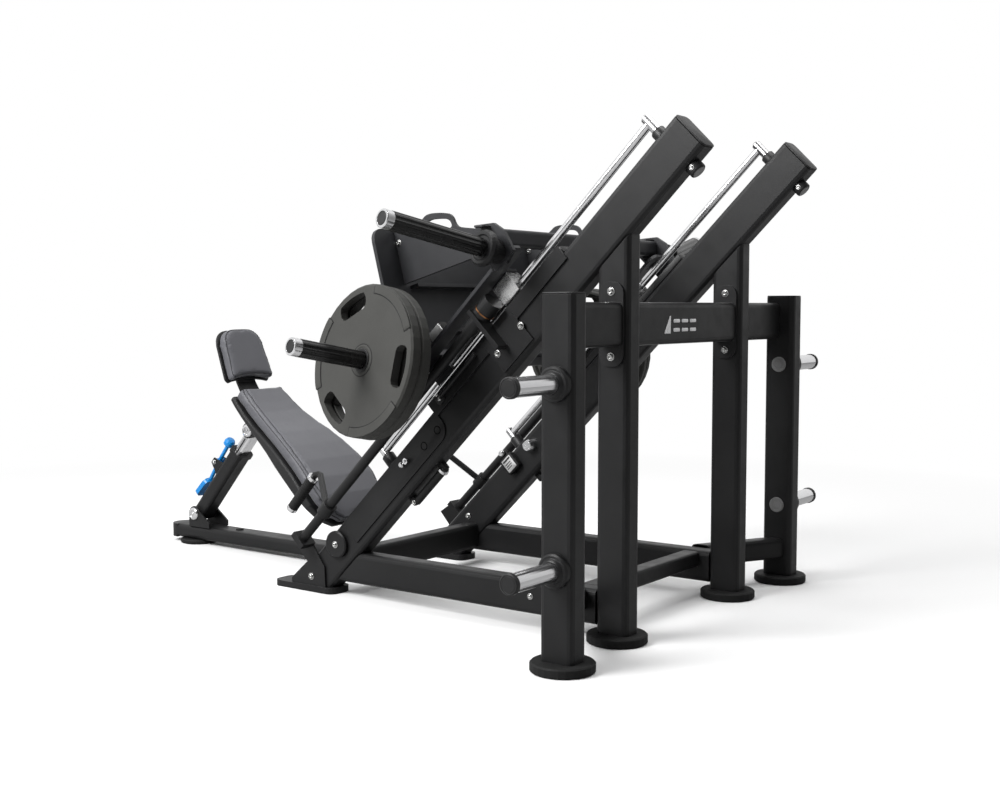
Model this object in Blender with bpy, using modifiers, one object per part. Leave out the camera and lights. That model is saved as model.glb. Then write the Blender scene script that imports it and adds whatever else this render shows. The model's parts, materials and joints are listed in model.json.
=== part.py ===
"""Plate-loaded 45 degree leg press, modelled as separate solids.

Metres, +Z up.  +Y is the way the feet push, +X is the user's right hand side.
The origin is on the floor, at the middle of the machine's footprint.
"""
import bpy
import bmesh
from math import radians, sin, cos, tan, asin, pi, sqrt, atan2, hypot
from mathutils import Vector

# ---------------------------------------------------------------- driving dimensions
DATUM_Y = 1.0345          # the outer uprights stand on this line
GAP = 0.0003              # clearance between touching solids
WALL = 0.0035             # wall of every frame tube
CORNER = 0.015            # outer corner radius of the frame tubes

RAIL_ANGLE = radians(45)  # slope of the rails
RAIL_X = 0.344            # centre plane of each rail, its inner upright and base beam
OUTER_X = 0.672           # centre plane of each outer upright
TUBE_W, TUBE_D = 0.070, 0.100          # upright and base beam section
BEAM_W, BEAM_H = 0.070, 0.120          # rail beam and crossbar section
BEAM_N = 0.846            # height of a rail beam's centre line above the datum, square to the rail
BEAM_TOP_T = 1.112        # upper end of the rail beams, along the rail

UPRIGHT_TOP = 0.963
FOOT_R, FOOT_H = 0.086, 0.026          # round feet under the uprights
INNER_Y = -0.035          # inner uprights, from the datum line
CROSSBAR_Z = 0.883
BASE_Z = 0.095            # centre height of the base beams
FRONT_PLATE_H = 0.020

ROD_N, ROD_R = 0.963, 0.0125           # guide rods
ROD_LOW_T, ROD_TOP_T = -0.290, 1.043   # the pins at the rods' ends
ROD_PIN_R, ROD_PIN_N = 0.0140, 0.986   # their radius, and how high they reach

STORE_Z = (0.738, 0.265)  # storage horn heights
STORE_R, STORE_TIP_X = 0.025, 0.908

HORN_TILT = radians(15)   # loading horns rise outwards
HORN_T = (0.036, 0.512)   # lower and upper horns, along the rail
HORN_TIP_X, HORN_TIP_N = 0.865, 1.1265
HORN_R = 0.0245
HORN_LEN = 0.350          # bare sleeve of the upper horns
PLATE_R, PLATE_THICK, PLATE_SPOT = 0.225, 0.037, 0.247   # outer face's distance from the tip
SLOT_IN, SLOT_OUT, SLOT_SPAN = 0.148, 0.202, 0.120    # hand slots in the plates
SLOT_TURN = radians(40)

SEAT_RAIL_W, SEAT_RAIL_H, SEAT_RAIL_Z = 0.100, 0.053, 0.0435
SEAT_END_Y = -2.2995      # rear end of the seat rail, from the datum line
STRUT_LOW = (-2.140, 0.119)            # lower pin of the backrest strut (y, z)
STRUT_TOP = (-1.840, 0.463)            # upper pin
SEAT_PIVOT = (-1.312, 0.108)           # seat hinge pin
LEVER_PIVOT = (-2.047, 0.328)          # adjuster lever pin

BEAM_FACE = RAIL_X + BEAM_W / 2        # outer face of a rail beam
SHAFT_X, SHAFT_N, SHAFT_R = 0.4115, 0.961, 0.016     # safety shafts, parallel to the rails
SHAFT_LOW_T, STOP_T = -0.7050, 0.379   # lower end, and where the carriage rests on the cam
PIN_T, PIN_N = -0.235, 0.865           # pull pins through the rail beams
PLATE_N = 1.0083          # underside of the carriage's side plates
EDGE_X, WEB_X = 0.440, 0.469          # outer edge of the carriage's side plates, and of their end webs
CROSS_Y, CROSS_Z = -0.398, 1.126       # upper cross tube of the carriage
FOOT_TOP = (-0.850, 1.165)             # foot plate: middle of its top edge
FOOT_DIP = 0.2607         # sine of its lean back from the vertical
FOOT_LEN, FOOT_W = 0.402, 0.904

# ---------------------------------------------------------------- scene, materials
for old in list(bpy.data.objects):
    bpy.data.objects.remove(old)

parts = bpy.data.collections.new("leg_press")
cutters = bpy.data.collections.new("cutters")
for group in (parts, cutters):
    bpy.context.scene.collection.children.link(group)


def material(name, color, roughness, metallic=0.0):
    mat = bpy.data.materials.new(name)
    mat.use_nodes = True
    shader = mat.node_tree.nodes["Principled BSDF"]
    shader.inputs["Base Color"].default_value = (*color, 1.0)
    shader.inputs["Roughness"].default_value = roughness
    shader.inputs["Metallic"].default_value = metallic
    return mat


BLACK = material("black_powder_coat", (0.022, 0.022, 0.023), 0.45)
GRAPHITE = material("graphite_powder_coat", (0.050, 0.051, 0.053), 0.50)
CHROME = material("chrome", (0.80, 0.80, 0.81), 0.10, 1.0)
RUBBER = material("black_rubber", (0.020, 0.020, 0.020), 0.80)
IRON = material("plate_urethane", (0.055, 0.055, 0.053), 0.60)
STEEL = material("machined_aluminium", (0.62, 0.62, 0.63), 0.30, 1.0)
VINYL = material("grey_vinyl", (0.130, 0.130, 0.145), 0.55)
PLASTIC = material("black_plastic", (0.030, 0.030, 0.031), 0.55)
BLUE = material("blue_plastic", (0.010, 0.230, 0.560), 0.40)

# ---------------------------------------------------------------- frames that hold the parts
datum = bpy.data.objects.new("datum_frame", None)
datum.location = (0, DATUM_Y, 0)
rail_frame = bpy.data.objects.new("rail_frame", None)
rail_frame.location = (0, DATUM_Y, 0)
rail_frame.rotation_euler = (RAIL_ANGLE, 0, 0)
for empty in (datum, rail_frame):
    parts.objects.link(empty)


def put(obj, mat, location=(0, 0, 0), rotation=(0, 0, 0), parent=datum):
    """Give an object its material, place and parent."""
    obj.data.materials.clear()
    obj.data.materials.append(mat)
    obj.location = location
    obj.rotation_euler = rotation
    obj.parent = parent
    return obj


ALONG_X = (0, radians(90), 0)
ALONG_Y = (radians(-90), 0, 0)
FACING_X = (radians(90), 0, radians(90))    # an outline drawn in (y, z), extruded along X

# ---------------------------------------------------------------- shape helpers


def arc(cx, cy, r, a0, a1, steps):
    return [(cx + r * cos(a0 + (a1 - a0) * i / steps), cy + r * sin(a0 + (a1 - a0) * i / steps))
            for i in range(steps + 1)]


def rounded(w, h, r, steps=3, cx=0.0, cy=0.0):
    """Rounded rectangle, w by h, counter-clockwise."""
    points = []
    for i, (sx, sy) in enumerate(((1, 1), (-1, 1), (-1, -1), (1, -1))):
        points += arc(cx + sx * (w / 2 - r), cy + sy * (h / 2 - r), r,
                      i * pi / 2, (i + 1) * pi / 2, steps)
    return points


def eased(points, rounds=2):
    """Open outline with its inner corners cut, so that it reads as a smooth bend."""
    for _ in range(rounds):
        cut = [points[0]]
        for (x0, y0), (x1, y1) in zip(points, points[1:]):
            cut += [(x0 + (x1 - x0) * share, y0 + (y1 - y0) * share) for share in (0.25, 0.75)]
        points = cut + [points[-1]]
    return points


def to_mesh(obj):
    """Turn a curve or modified object into a plain welded mesh object of the same name."""
    graph = bpy.context.evaluated_depsgraph_get()
    mesh = bpy.data.meshes.new_from_object(obj.evaluated_get(graph))
    name, matrix, group = obj.name, obj.matrix_world.copy(), obj.users_collection[0]
    bpy.data.objects.remove(obj)
    work = bmesh.new()
    work.from_mesh(mesh)
    bmesh.ops.remove_doubles(work, verts=work.verts, dist=1e-5)
    bmesh.ops.recalc_face_normals(work, faces=work.faces)
    work.to_mesh(mesh)
    work.free()
    mesh.name = name
    made = bpy.data.objects.new(name, mesh)
    made.matrix_world = matrix
    group.objects.link(made)
    return made


def slab(name, loops, depth, group=parts):
    """Flat outline, with holes, extruded by depth about its own plane."""
    curve = bpy.data.curves.new(name, "CURVE")
    curve.dimensions = "2D"
    curve.fill_mode = "BOTH"
    curve.extrude = depth / 2
    for loop in loops:
        line = curve.splines.new("POLY")
        line.points.add(len(loop) - 1)
        for point, (x, y) in zip(line.points, loop):
            point.co = (x, y, 0, 1)
        line.use_cyclic_u = True
    obj = bpy.data.objects.new(name, curve)
    group.objects.link(obj)
    bpy.context.view_layer.update()
    return to_mesh(obj)


def tube(name, w, d, length, wall=WALL, r=CORNER):
    """Rounded rectangular tube along its local Z."""
    hole = rounded(w - 2 * wall, d - 2 * wall, r - wall, 2)
    return slab(name, [rounded(w, d, r), hole], length)


def mitre(obj, top, slope):
    """Slant one end of a bar: its local z rises by the slopes across the section."""
    for vert in obj.data.vertices:
        if (vert.co.z > 0) == top:
            vert.co.z += slope * vert.co.y


def pipe(name, points, radius, group=parts, resolution=3):
    """Round bar along a polyline, with filled ends."""
    curve = bpy.data.curves.new(name, "CURVE")
    curve.dimensions = "3D"
    curve.bevel_depth = radius
    curve.bevel_resolution = resolution
    curve.use_fill_caps = True
    line = curve.splines.new("POLY")
    line.points.add(len(points) - 1)
    for point, co in zip(line.points, points):
        point.co = (*co, 1)
    obj = bpy.data.objects.new(name, curve)
    group.objects.link(obj)
    bpy.context.view_layer.update()
    return to_mesh(obj)


def turned(name, profile, steps=28, group=parts):
    """Solid of revolution about local Z, from (radius, z) points listed top to bottom."""
    mesh = bpy.data.meshes.new(name)
    mesh.from_pydata([(r, 0, z) for r, z in profile],
                     [(i, i + 1) for i in range(len(profile) - 1)], [])
    obj = bpy.data.objects.new(name, mesh)
    group.objects.link(obj)
    screw = obj.modifiers.new("turn", "SCREW")
    screw.steps = screw.render_steps = steps
    screw.use_merge_vertices = True
    screw.merge_threshold = 0.00001
    screw.use_normal_calculate = True
    bpy.context.view_layer.update()
    return to_mesh(obj)


def combine(obj, tool, operation):
    """Boolean with a hidden tool object."""
    tool.hide_render = True
    tool.display_type = "WIRE"
    mod = obj.modifiers.new(operation.lower(), "BOOLEAN")
    mod.operation = operation
    mod.object = tool
    mod.solver = "EXACT"


def box(name, size, center, group=cutters, rotation=(0, 0, 0), parent=datum):
    """Plain box from the cube primitive, with its scale applied."""
    mesh = bpy.data.meshes.new(name)
    work = bmesh.new()
    bmesh.ops.create_cube(work, size=1.0)
    bmesh.ops.scale(work, vec=size, verts=work.verts)
    work.to_mesh(mesh)
    work.free()
    obj = bpy.data.objects.new(name, mesh)
    group.objects.link(obj)
    obj.location = center
    obj.rotation_euler = rotation
    obj.parent = parent
    return obj


def smooth(obj, angle=35):
    obj.data.shade_smooth()
    obj.data.set_sharp_from_angle(angle=radians(angle))


def both_sides():
    return (("right", 1), ("left", -1))


# ---------------------------------------------------------------- welded frame
def rail_low_t(n):
    """Where a line at height n meets the top of the front plate, along the rail."""
    return (FRONT_PLATE_H + GAP) * sqrt(2) - n


def rail_beam(name, side):
    low = rail_low_t(BEAM_N)
    beam = tube(name, BEAM_W, BEAM_H, BEAM_TOP_T - low)
    mitre(beam, top=False, slope=1.0)
    put(beam, BLACK, (side * RAIL_X, (BEAM_TOP_T + low) / 2, BEAM_N), ALONG_Y, rail_frame)
    bore = turned(name + "_bore", [(0, 0.1), (0.0095, 0.1), (0.0095, -0.1), (0, -0.1)], 20, cutters)
    put(bore, BLACK, (side * RAIL_X, PIN_T, PIN_N), ALONG_X, rail_frame)
    combine(beam, bore, "DIFFERENCE")


def upright(name, x, y, top):
    """Closed at the top by its own cap, open over the foot disc."""
    column = slab(name, [rounded(TUBE_W, TUBE_D, CORNER)], top - FOOT_H - GAP)
    put(column, BLACK, (x, y, (top + FOOT_H + GAP) / 2))
    length = top - FOOT_H - GAP
    core = slab(name + "_core", [rounded(TUBE_W - 2 * WALL, TUBE_D - 2 * WALL, CORNER - WALL, 2)],
                length, cutters)
    put(core, BLACK, (x, y, (top + FOOT_H + GAP) / 2 - 0.008))
    combine(column, core, "DIFFERENCE")
    return column


def inner_upright(name, side):
    """Cut on the slope, just under the rail beam."""
    underside = (BEAM_N - BEAM_H / 2 - GAP) * sqrt(2) + INNER_Y
    length = underside - FOOT_H - GAP
    column = tube(name, TUBE_W, TUBE_D, length)
    mitre(column, top=True, slope=1.0)
    put(column, BLACK, (side * RAIL_X, INNER_Y, FOOT_H + GAP + length / 2))


def foot_disc(name, x, y, radius=FOOT_R, height=FOOT_H):
    edge = 0.004
    disc = turned(name, [(0, height), (radius - edge, height), (radius, height - edge), (radius, edge),
                         (radius - edge, 0), (0, 0)])
    put(disc, RUBBER, (x, y, 0))
    smooth(disc)


def base_beam(name, side):
    """From the rail's underside to the inner upright."""
    front = BASE_Z - (BEAM_N - BEAM_H / 2 - GAP) * sqrt(2)
    back = INNER_Y - TUBE_D / 2 - GAP
    beam = tube(name, TUBE_W, TUBE_D, back - front)
    mitre(beam, top=False, slope=-1.0)
    put(beam, BLACK, (side * RAIL_X, (front + back) / 2, BASE_Z), ALONG_Y)


def crossbar(name, x0, x1, plate_at):
    """Horizontal bar with a rounded flange plate at one or both ends."""
    thick = 0.007
    bar = tube(name, BEAM_H, BEAM_W, x1 - x0 - 2 * GAP)
    put(bar, BLACK, ((x0 + x1) / 2, INNER_Y, CROSSBAR_Z), ALONG_X)
    for end, x in (("a", x0), ("b", x1)):
        if end not in plate_at:
            continue
        inward = 1 if end == "a" else -1
        plate = slab(name + "_flange_" + end, [rounded(0.230, 0.076, 0.030, 4),
                                               rounded(0.104, 0.054, 0.010, 2)], thick, cutters)
        put(plate, BLACK, (x + inward * (thick / 2 + GAP), INNER_Y, CROSSBAR_Z), ALONG_X)
        combine(bar, plate, "UNION")


def front_foot(name, side):
    """Floor plate, web and strap at the lower end of the rail, with the safety shaft's lower stop."""
    plate = slab(name, [rounded(0.096, 0.270, 0.030, 4)], FRONT_PLATE_H)
    put(plate, BLACK, (side * RAIL_X, -1.210, FRONT_PLATE_H / 2))
    thick = 0.007
    x = side * (BEAM_FACE + GAP + thick / 2)
    strap = slab(name + "_strap", [[(-1.262, 0.010), (-1.110, 0.010), (-1.114, 0.0865), (-1.1937, 0.193),
                                    (-1.2448, 0.158), (-1.1905, 0.097), (-1.262, 0.036)]], thick, cutters)
    put(strap, BLACK, (x, 0, 0), FACING_X)
    combine(plate, strap, "UNION")
    inner, outer = BEAM_FACE + GAP, SHAFT_X + 0.026
    stop = box(name + "_stop", (outer - inner, 0.020, 0.058),
               (side * (inner + outer) / 2, SHAFT_LOW_T - GAP - 0.010, SHAFT_N), parent=rail_frame)
    combine(plate, stop, "UNION")


def side_tie(name, side):
    """Low diagonal tube from the base beam to the outer upright."""
    x0, y0 = RAIL_X + TUBE_W / 2, -0.150
    x1, y1 = OUTER_X - TUBE_W / 2, -0.010
    angle = atan2(y1 - y0, x1 - x0)
    slope = (y1 - y0) / (x1 - x0)
    tie = tube(name, 0.070, 0.060, hypot(x1 - x0, y1 - y0) - 2 * GAP)
    mitre(tie, top=True, slope=side * slope)
    mitre(tie, top=False, slope=side * slope)
    put(tie, BLACK, (side * (x0 + x1) / 2, (y0 + y1) / 2, 0.117), (0, radians(90), side * angle))


def storage_horn(name, side, z):
    """Horizontal sleeve with a weld flange and an end cap, on the outside of the outer upright."""
    length = STORE_TIP_X - OUTER_X - TUBE_W / 2 - GAP
    horn = turned(name, [(0, length), (STORE_R - 0.003, length), (STORE_R, length - 0.003),
                         (STORE_R, 0.014), (0.038, 0.010), (0.038, 0), (0, 0)])
    x = side * (OUTER_X + TUBE_W / 2 + GAP)
    put(horn, CHROME, (x, 0, z), (0, side * radians(90), 0))
    smooth(horn)


def seat_rail():
    """Low central rail with the strut's clevis and the seat's hinge ears welded on."""
    front, turn = -1.075, SEAT_RAIL_W / 2
    back = SEAT_END_Y + turn
    rail = tube("seat_rail", SEAT_RAIL_W, SEAT_RAIL_H, front - back)
    put(rail, BLACK, (0, (front + back) / 2, SEAT_RAIL_Z), ALONG_Y)
    nose = slab("seat_rail_nose", [[(turn, 0.008)] + [(-turn, 0.008)] + arc(0, 0, turn, pi, 2 * pi, 16)],
                SEAT_RAIL_H - 0.001, cutters)
    put(nose, BLACK, (0, back, SEAT_RAIL_Z))
    combine(rail, nose, "UNION")
    top = SEAT_RAIL_Z + SEAT_RAIL_H / 2
    ears = []
    for side in (1, -1):
        y, z = STRUT_LOW
        outline = [(y - 0.030, top - 0.002), (y + 0.085, top - 0.002), (y + 0.085, z - 0.030)]
        outline += arc(y, z, 0.030, radians(20), radians(180), 8)
        ears.append(("clevis", side * 0.046, outline, 0.008))
        y, z = SEAT_PIVOT
        outline = [(y - 0.045, top - 0.002), (y + 0.045, top - 0.002)]
        outline += arc(y, z, 0.024, radians(-10), radians(190), 8)
        ears.append(("hinge", side * 0.040, outline, 0.010))
    for label, x, outline, thick in ears:
        ear = slab("seat_rail_" + label + str(x), [outline], thick, cutters)
        put(ear, BLACK, (x, 0, 0), FACING_X)
        combine(rail, ear, "UNION")


def welded_frame():
    for side_name, side in both_sides():
        rail_beam("rail_beam_" + side_name, side)
        upright("outer_upright_" + side_name, side * OUTER_X, 0, UPRIGHT_TOP)
        inner_upright("inner_upright_" + side_name, side)
        foot_disc("outer_foot_" + side_name, side * OUTER_X, 0)
        foot_disc("inner_foot_" + side_name, side * RAIL_X, INNER_Y)
        base_beam("base_beam_" + side_name, side)
        side_tie("side_tie_" + side_name, side)
        front_foot("front_foot_" + side_name, side)
        for z, level in zip(STORE_Z, ("upper", "lower")):
            storage_horn("storage_horn_" + level + "_" + side_name, side, z)
    inner_face, outer_face = RAIL_X + TUBE_W / 2, OUTER_X - TUBE_W / 2
    crossbar("crossbar_center", -RAIL_X + TUBE_W / 2, RAIL_X - TUBE_W / 2, "ab")
    crossbar("crossbar_right", inner_face, outer_face, "a")
    crossbar("crossbar_left", -outer_face, -inner_face, "b")
    span = 2 * (RAIL_X - TUBE_W / 2 - GAP)
    rear = tube("rear_cross_tube", 0.050, 0.060, span, r=0.010)
    put(rear, BLACK, (0, -0.150, 0.117), ALONG_X)
    front = tube("front_cross_tube", 0.090, 0.060, span, r=0.012)
    put(front, BLACK, (0, -1.043, 0.100), ALONG_X)
    seat_rail()
    foot_disc("seat_foot", 0, -2.165, 0.075, 0.0165)


# ---------------------------------------------------------------- guide rods
def guide_rods():
    """Each rod with the two pins that hold it above its beam."""
    foot = BEAM_N + BEAM_H / 2 + GAP
    profile = [(0, foot), (0.017, foot), (0.017, foot + 0.022), (ROD_PIN_R, foot + 0.025),
               (ROD_PIN_R, ROD_PIN_N - 0.004), (0.010, ROD_PIN_N), (0, ROD_PIN_N)]
    for side_name, side in both_sides():
        x = side * RAIL_X
        rod = turned("guide_rod_" + side_name,
                     [(0, ROD_TOP_T), (ROD_R, ROD_TOP_T), (ROD_R, ROD_LOW_T), (0, ROD_LOW_T)], 20)
        put(rod, CHROME, (x, 0, ROD_N), ALONG_Y, rail_frame)
        for level, t in (("upper", ROD_TOP_T), ("lower", ROD_LOW_T)):
            pin = turned("rod_pin_" + level + "_" + side_name, profile, 24, cutters)
            put(pin, CHROME, (x, t, 0), (0, 0, 0), rail_frame)
            combine(rod, pin, "UNION")
        smooth(rod)


# ---------------------------------------------------------------- safety stops and pull pins
def stop_bracket(name, side):
    """Plate on the rail's outer face, with a flange that the safety shaft turns in."""
    thick = 0.008
    place = (side * (BEAM_FACE + GAP + thick / 2), 0.318, 0.8525)
    bracket = box(name, (thick, 0.140, 0.105), place, parts, parent=rail_frame)
    put(bracket, BLACK, place, parent=rail_frame)
    inner, outer = BEAM_FACE + GAP, SHAFT_X + 0.024
    flange = box(name + "_flange", (outer - inner, 0.014, 0.148), (side * (inner + outer) / 2, 0.305, 0.919),
                 parent=rail_frame)
    bore = turned(name + "_bore", [(0, 0.1), (SHAFT_R + GAP, 0.1), (SHAFT_R + GAP, -0.1), (0, -0.1)],
                  24, cutters)
    put(bore, BLACK, (side * SHAFT_X, 0.281, SHAFT_N), ALONG_Y, rail_frame)
    strip = box(name + "_strip", (0.006, 0.656, 0.048), (side * (BEAM_FACE + GAP + 0.003), 0.298, 0.904),
                parent=rail_frame)
    for tool in (flange, strip):
        combine(bracket, tool, "UNION")
    combine(bracket, bore, "DIFFERENCE")


def cam_outline(side):
    """Stop cam seen down the rail: a round sleeve with a lobe that reaches under the bearing."""
    lobe = [(-0.0455, 0.009), (-0.0455, -0.009)]
    return [(side * x, y) for x, y in lobe + arc(0, 0, 0.030, radians(-150), radians(150), 22)]


def safety_shaft(name, side):
    """Shaft along the rail with its stop cam, turned by the hand lever."""
    collar_r, collar_top, collar_low = 0.023, 0.2975, 0.252
    shaft = turned(name, [(0, STOP_T - GAP), (SHAFT_R, STOP_T - GAP), (SHAFT_R, collar_top),
                          (collar_r, collar_top), (collar_r, collar_low), (SHAFT_R, collar_low),
                          (SHAFT_R, SHAFT_LOW_T), (0, SHAFT_LOW_T)], 24)
    put(shaft, BLACK, (side * SHAFT_X, 0, SHAFT_N), ALONG_Y, rail_frame)
    length = 0.058
    cam = slab(name + "_cam", [cam_outline(side)], length, cutters)
    put(cam, BLACK, (side * SHAFT_X, STOP_T - GAP - length / 2, SHAFT_N), (radians(90), 0, 0), rail_frame)
    combine(shaft, cam, "UNION")
    smooth(shaft)


def hand_lever(name, side):
    """Bent bar from a clamp on the safety shaft to a grip that lies along the rail."""
    t = -0.560
    bend = [(0.342, t, 1.094), (0.340, t - 0.006, 1.104), (0.342, t - 0.018, 1.111)]
    path = [(SHAFT_X, t, SHAFT_N)] + bend + [(0.348, -0.730, 1.0985)]
    bar = pipe(name, [(side * x, y, z) for x, y, z in path], 0.011)
    put(bar, BLACK, parent=rail_frame)
    grip_dir = Vector((0.348 - 0.342, -0.730 - t + 0.018, 1.0985 - 1.111)).normalized()
    start = Vector((0.342, t - 0.018, 1.111)) + grip_dir * 0.010
    grip = pipe(name + "_grip", [(side * p.x, p.y, p.z) for p in (start, start + grip_dir * 0.150)],
                0.0165, cutters, 5)
    put(grip, BLACK, parent=rail_frame)
    clamp = turned(name + "_clamp", [(0, 0.022), (0.024, 0.022), (0.024, -0.022), (0, -0.022)], 24, cutters)
    put(clamp, BLACK, (side * SHAFT_X, t, SHAFT_N), ALONG_Y, rail_frame)
    bore = turned(name + "_bore", [(0, 0.1), (SHAFT_R + GAP, 0.1), (SHAFT_R + GAP, -0.1), (0, -0.1)],
                  24, cutters)
    put(bore, BLACK, (side * SHAFT_X, t, SHAFT_N), ALONG_Y, rail_frame)
    combine(bar, grip, "UNION")
    combine(bar, clamp, "UNION")
    combine(bar, bore, "DIFFERENCE")
    smooth(bar)


def stop_pin(name, side):
    """Spring pin through the rail beam, pulled inwards by its knob."""
    outer, inner = BEAM_FACE + 0.020, RAIL_X - BEAM_W / 2 - GAP
    pin = turned(name, [(0, outer), (0.006, outer), (0.009, outer - 0.004), (0.009, inner), (0.022, inner),
                        (0.022, inner - 0.014), (0.017, inner - 0.030), (0, inner - 0.030)], 24)
    put(pin, CHROME, (0, PIN_T, PIN_N), (0, side * radians(90), 0), rail_frame)
    smooth(pin)


def safety_gear():
    for side_name, side in both_sides():
        stop_bracket("stop_bracket_" + side_name, side)
        safety_shaft("safety_shaft_" + side_name, side)
        hand_lever("hand_lever_" + side_name, side)
        stop_pin("stop_pin_" + side_name, side)


# ---------------------------------------------------------------- carriage
def horn_point(side, t, from_tip):
    """Point on a loading horn's axis in the rail frame, and how far from its tip it lies."""
    return (side * (HORN_TIP_X - cos(HORN_TILT) * from_tip), t, HORN_TIP_N - sin(HORN_TILT) * from_tip)


def loading_horn(name, side, t, hub_front):
    """Sleeve and hub, slanted at the root so that it meets the carriage's web."""
    root = (HORN_TIP_X - WEB_X - GAP) / cos(HORN_TILT)
    hub_len = root - hub_front
    hub_r, neck_r, bead = 0.052, 0.033, 0.003
    horn = turned(name, [(0, root), (HORN_R - bead, root), (HORN_R, root - bead), (HORN_R, hub_len - 0.004),
                         (hub_r - 0.018, hub_len - 0.004), (hub_r - 0.014, hub_len), (hub_r - 0.006, hub_len),
                         (hub_r, hub_len - 0.008),
                         (hub_r, hub_len - 0.018), (neck_r, hub_len - 0.028), (neck_r, 0), (0, 0)])
    slant = tan(HORN_TILT)
    for vert in horn.data.vertices:
        if vert.co.z < bead:
            vert.co.z -= side * slant * vert.co.x
    put(horn, BLACK, horn_point(side, t, root), (0, side * (radians(90) - HORN_TILT), 0), rail_frame)
    smooth(horn)


def plate_master():
    """Grip plate with three hand slots, shared by all the weight plates."""
    half, bore, web, bead = PLATE_THICK / 2, 0.0258, 0.008, 0.006
    ring = turned("plate_master", [(bore, half), (PLATE_R - bead, half), (PLATE_R, half - bead),
                                   (PLATE_R, bead - half), (PLATE_R - bead, -half), (0.211, -half),
                                   (0.205, -web), (0.064, -web), (0.060, -half), (bore, -half),
                                   (bore, half)], 40, cutters)
    for i in range(3):
        a = SLOT_TURN + radians(120 * i)
        slot = slab("hand_slot_%d" % i, [slot_outline()], 0.1, cutters)
        slot.rotation_euler = (0, 0, a)
        combine(ring, slot, "DIFFERENCE")
    bpy.context.view_layer.update()
    return to_mesh(ring)


def slot_outline():
    """Hand slot: arched outside, straight inside, centred on the local X axis."""
    half = SLOT_SPAN / 2
    turn = asin(0.9 * half / SLOT_OUT)
    rim = arc(0, 0, SLOT_OUT, -turn, turn, 8)
    ends = [(SLOT_OUT - 0.018, half), (SLOT_IN + 0.018, half), (SLOT_IN + 0.005, half - 0.007),
            (SLOT_IN, half - 0.018)]
    return rim + ends + [(x, -y) for x, y in reversed(ends)]


def weight_plates():
    """Two plates on each lower horn, outer faces outwards."""
    master = plate_master()
    for side_name, side in both_sides():
        for label, back in (("outer", 0), ("inner", PLATE_THICK + GAP)):
            plate = bpy.data.objects.new("weight_plate_" + label + "_" + side_name, master.data.copy())
            parts.objects.link(plate)
            where = horn_point(side, HORN_T[0], PLATE_SPOT + back + PLATE_THICK / 2)
            put(plate, IRON, where, (0, side * (radians(90) - HORN_TILT), 0), rail_frame)
            smooth(plate)
    bpy.data.objects.remove(master)


def side_plate_outline():
    """Side plate seen square to the rail, as (x, along the rail): flared ends, tabs over the bearings."""
    rod_edge = 0.3765
    low_tab = [(rod_edge, 0.104), (0.313, 0.104), (0.313, 0.026), (rod_edge, 0.026)]
    high_tab = [(rod_edge, 0.453), (0.320, 0.453), (0.320, 0.375), (rod_edge, 0.375)]
    low_end = [(rod_edge, 0), (WEB_X - 0.002, 0), (WEB_X - 0.002, 0.083), (EDGE_X, 0.115)]
    high_end = [(EDGE_X, 0.452), (WEB_X - 0.002, 0.474), (WEB_X - 0.002, 0.542), (0.392, 0.542),
                (0.376, 0.530), (0.372, 0.510), (0.374, 0.470)]
    return low_end + high_end + high_tab + low_tab


def carriage_side(name, side):
    """Plate above the guide rod, the webs that carry the horns, and the lower bearing under it."""
    thick = 0.010
    hole = arc(0.398, 0.487, 0.006, radians(180), radians(270), 3) \
        + arc(0.434, 0.492, 0.006, radians(-90), radians(45), 4) \
        + arc(0.412, 0.522, 0.006, radians(45), radians(180), 4)
    plate = slab(name, [[(side * x, y) for x, y in line] for line in (side_plate_outline(), hole)], thick)
    put(plate, GRAPHITE, (0, 0, PLATE_N + thick / 2), parent=rail_frame)
    upper = [(0.472, 0.982), (0.556, 0.982), (0.572, 1.045), (0.562, 1.085), (0.515, 1.126), (0.468, 1.092)]
    lower = [(-0.003, 0.978), (0.080, 0.978), (0.086, 1.062), (-0.003, 1.062)]
    for label, outline in (("upper", upper), ("lower", lower)):
        web = slab(name + "_web_" + label, [outline], 0.012, cutters)
        put(web, GRAPHITE, (side * (WEB_X - 0.006), 0, 0), FACING_X, rail_frame)
        combine(plate, web, "UNION")
    inner, outer = 0.317, SHAFT_X - 0.0480       # narrow enough to pass the stop cam's lobe
    lug = box(name + "_lug", (outer - inner, 0.074, 0.078),
              (side * (inner + outer) / 2, 0.065, PLATE_N - 0.034), parent=rail_frame)
    combine(plate, lug, "UNION")
    combine(plate, rod_bore(name, side, 0.065), "DIFFERENCE")


def rod_bore(name, side, t):
    bore = turned(name + "_bore", [(0, 0.1), (ROD_R + GAP, 0.1), (ROD_R + GAP, -0.1), (0, -0.1)], 20, cutters)
    return put(bore, BLACK, (side * RAIL_X, t, ROD_N), ALONG_Y, rail_frame)


def upper_bearing(name, side):
    """Machined housing that slides on the guide rod and lands on the stop cam."""
    length, width, low = 0.069, 0.064, 0.938
    height = PLATE_N - GAP - low
    housing = slab(name, [rounded(width, height, 0.006, 3)], length)
    t = STOP_T + length / 2
    put(housing, STEEL, (side * RAIL_X, t, low + height / 2), (radians(90), 0, 0), rail_frame)
    combine(housing, rod_bore(name, side, t), "DIFFERENCE")


def foot_point(down, behind):
    """Point on the foot plate's centre plane: distance down from its top edge, and behind its face."""
    up = cos(asin(FOOT_DIP))
    return (0, FOOT_TOP[0] + FOOT_DIP * down + up * behind, FOOT_TOP[1] - up * down + FOOT_DIP * behind)


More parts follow.
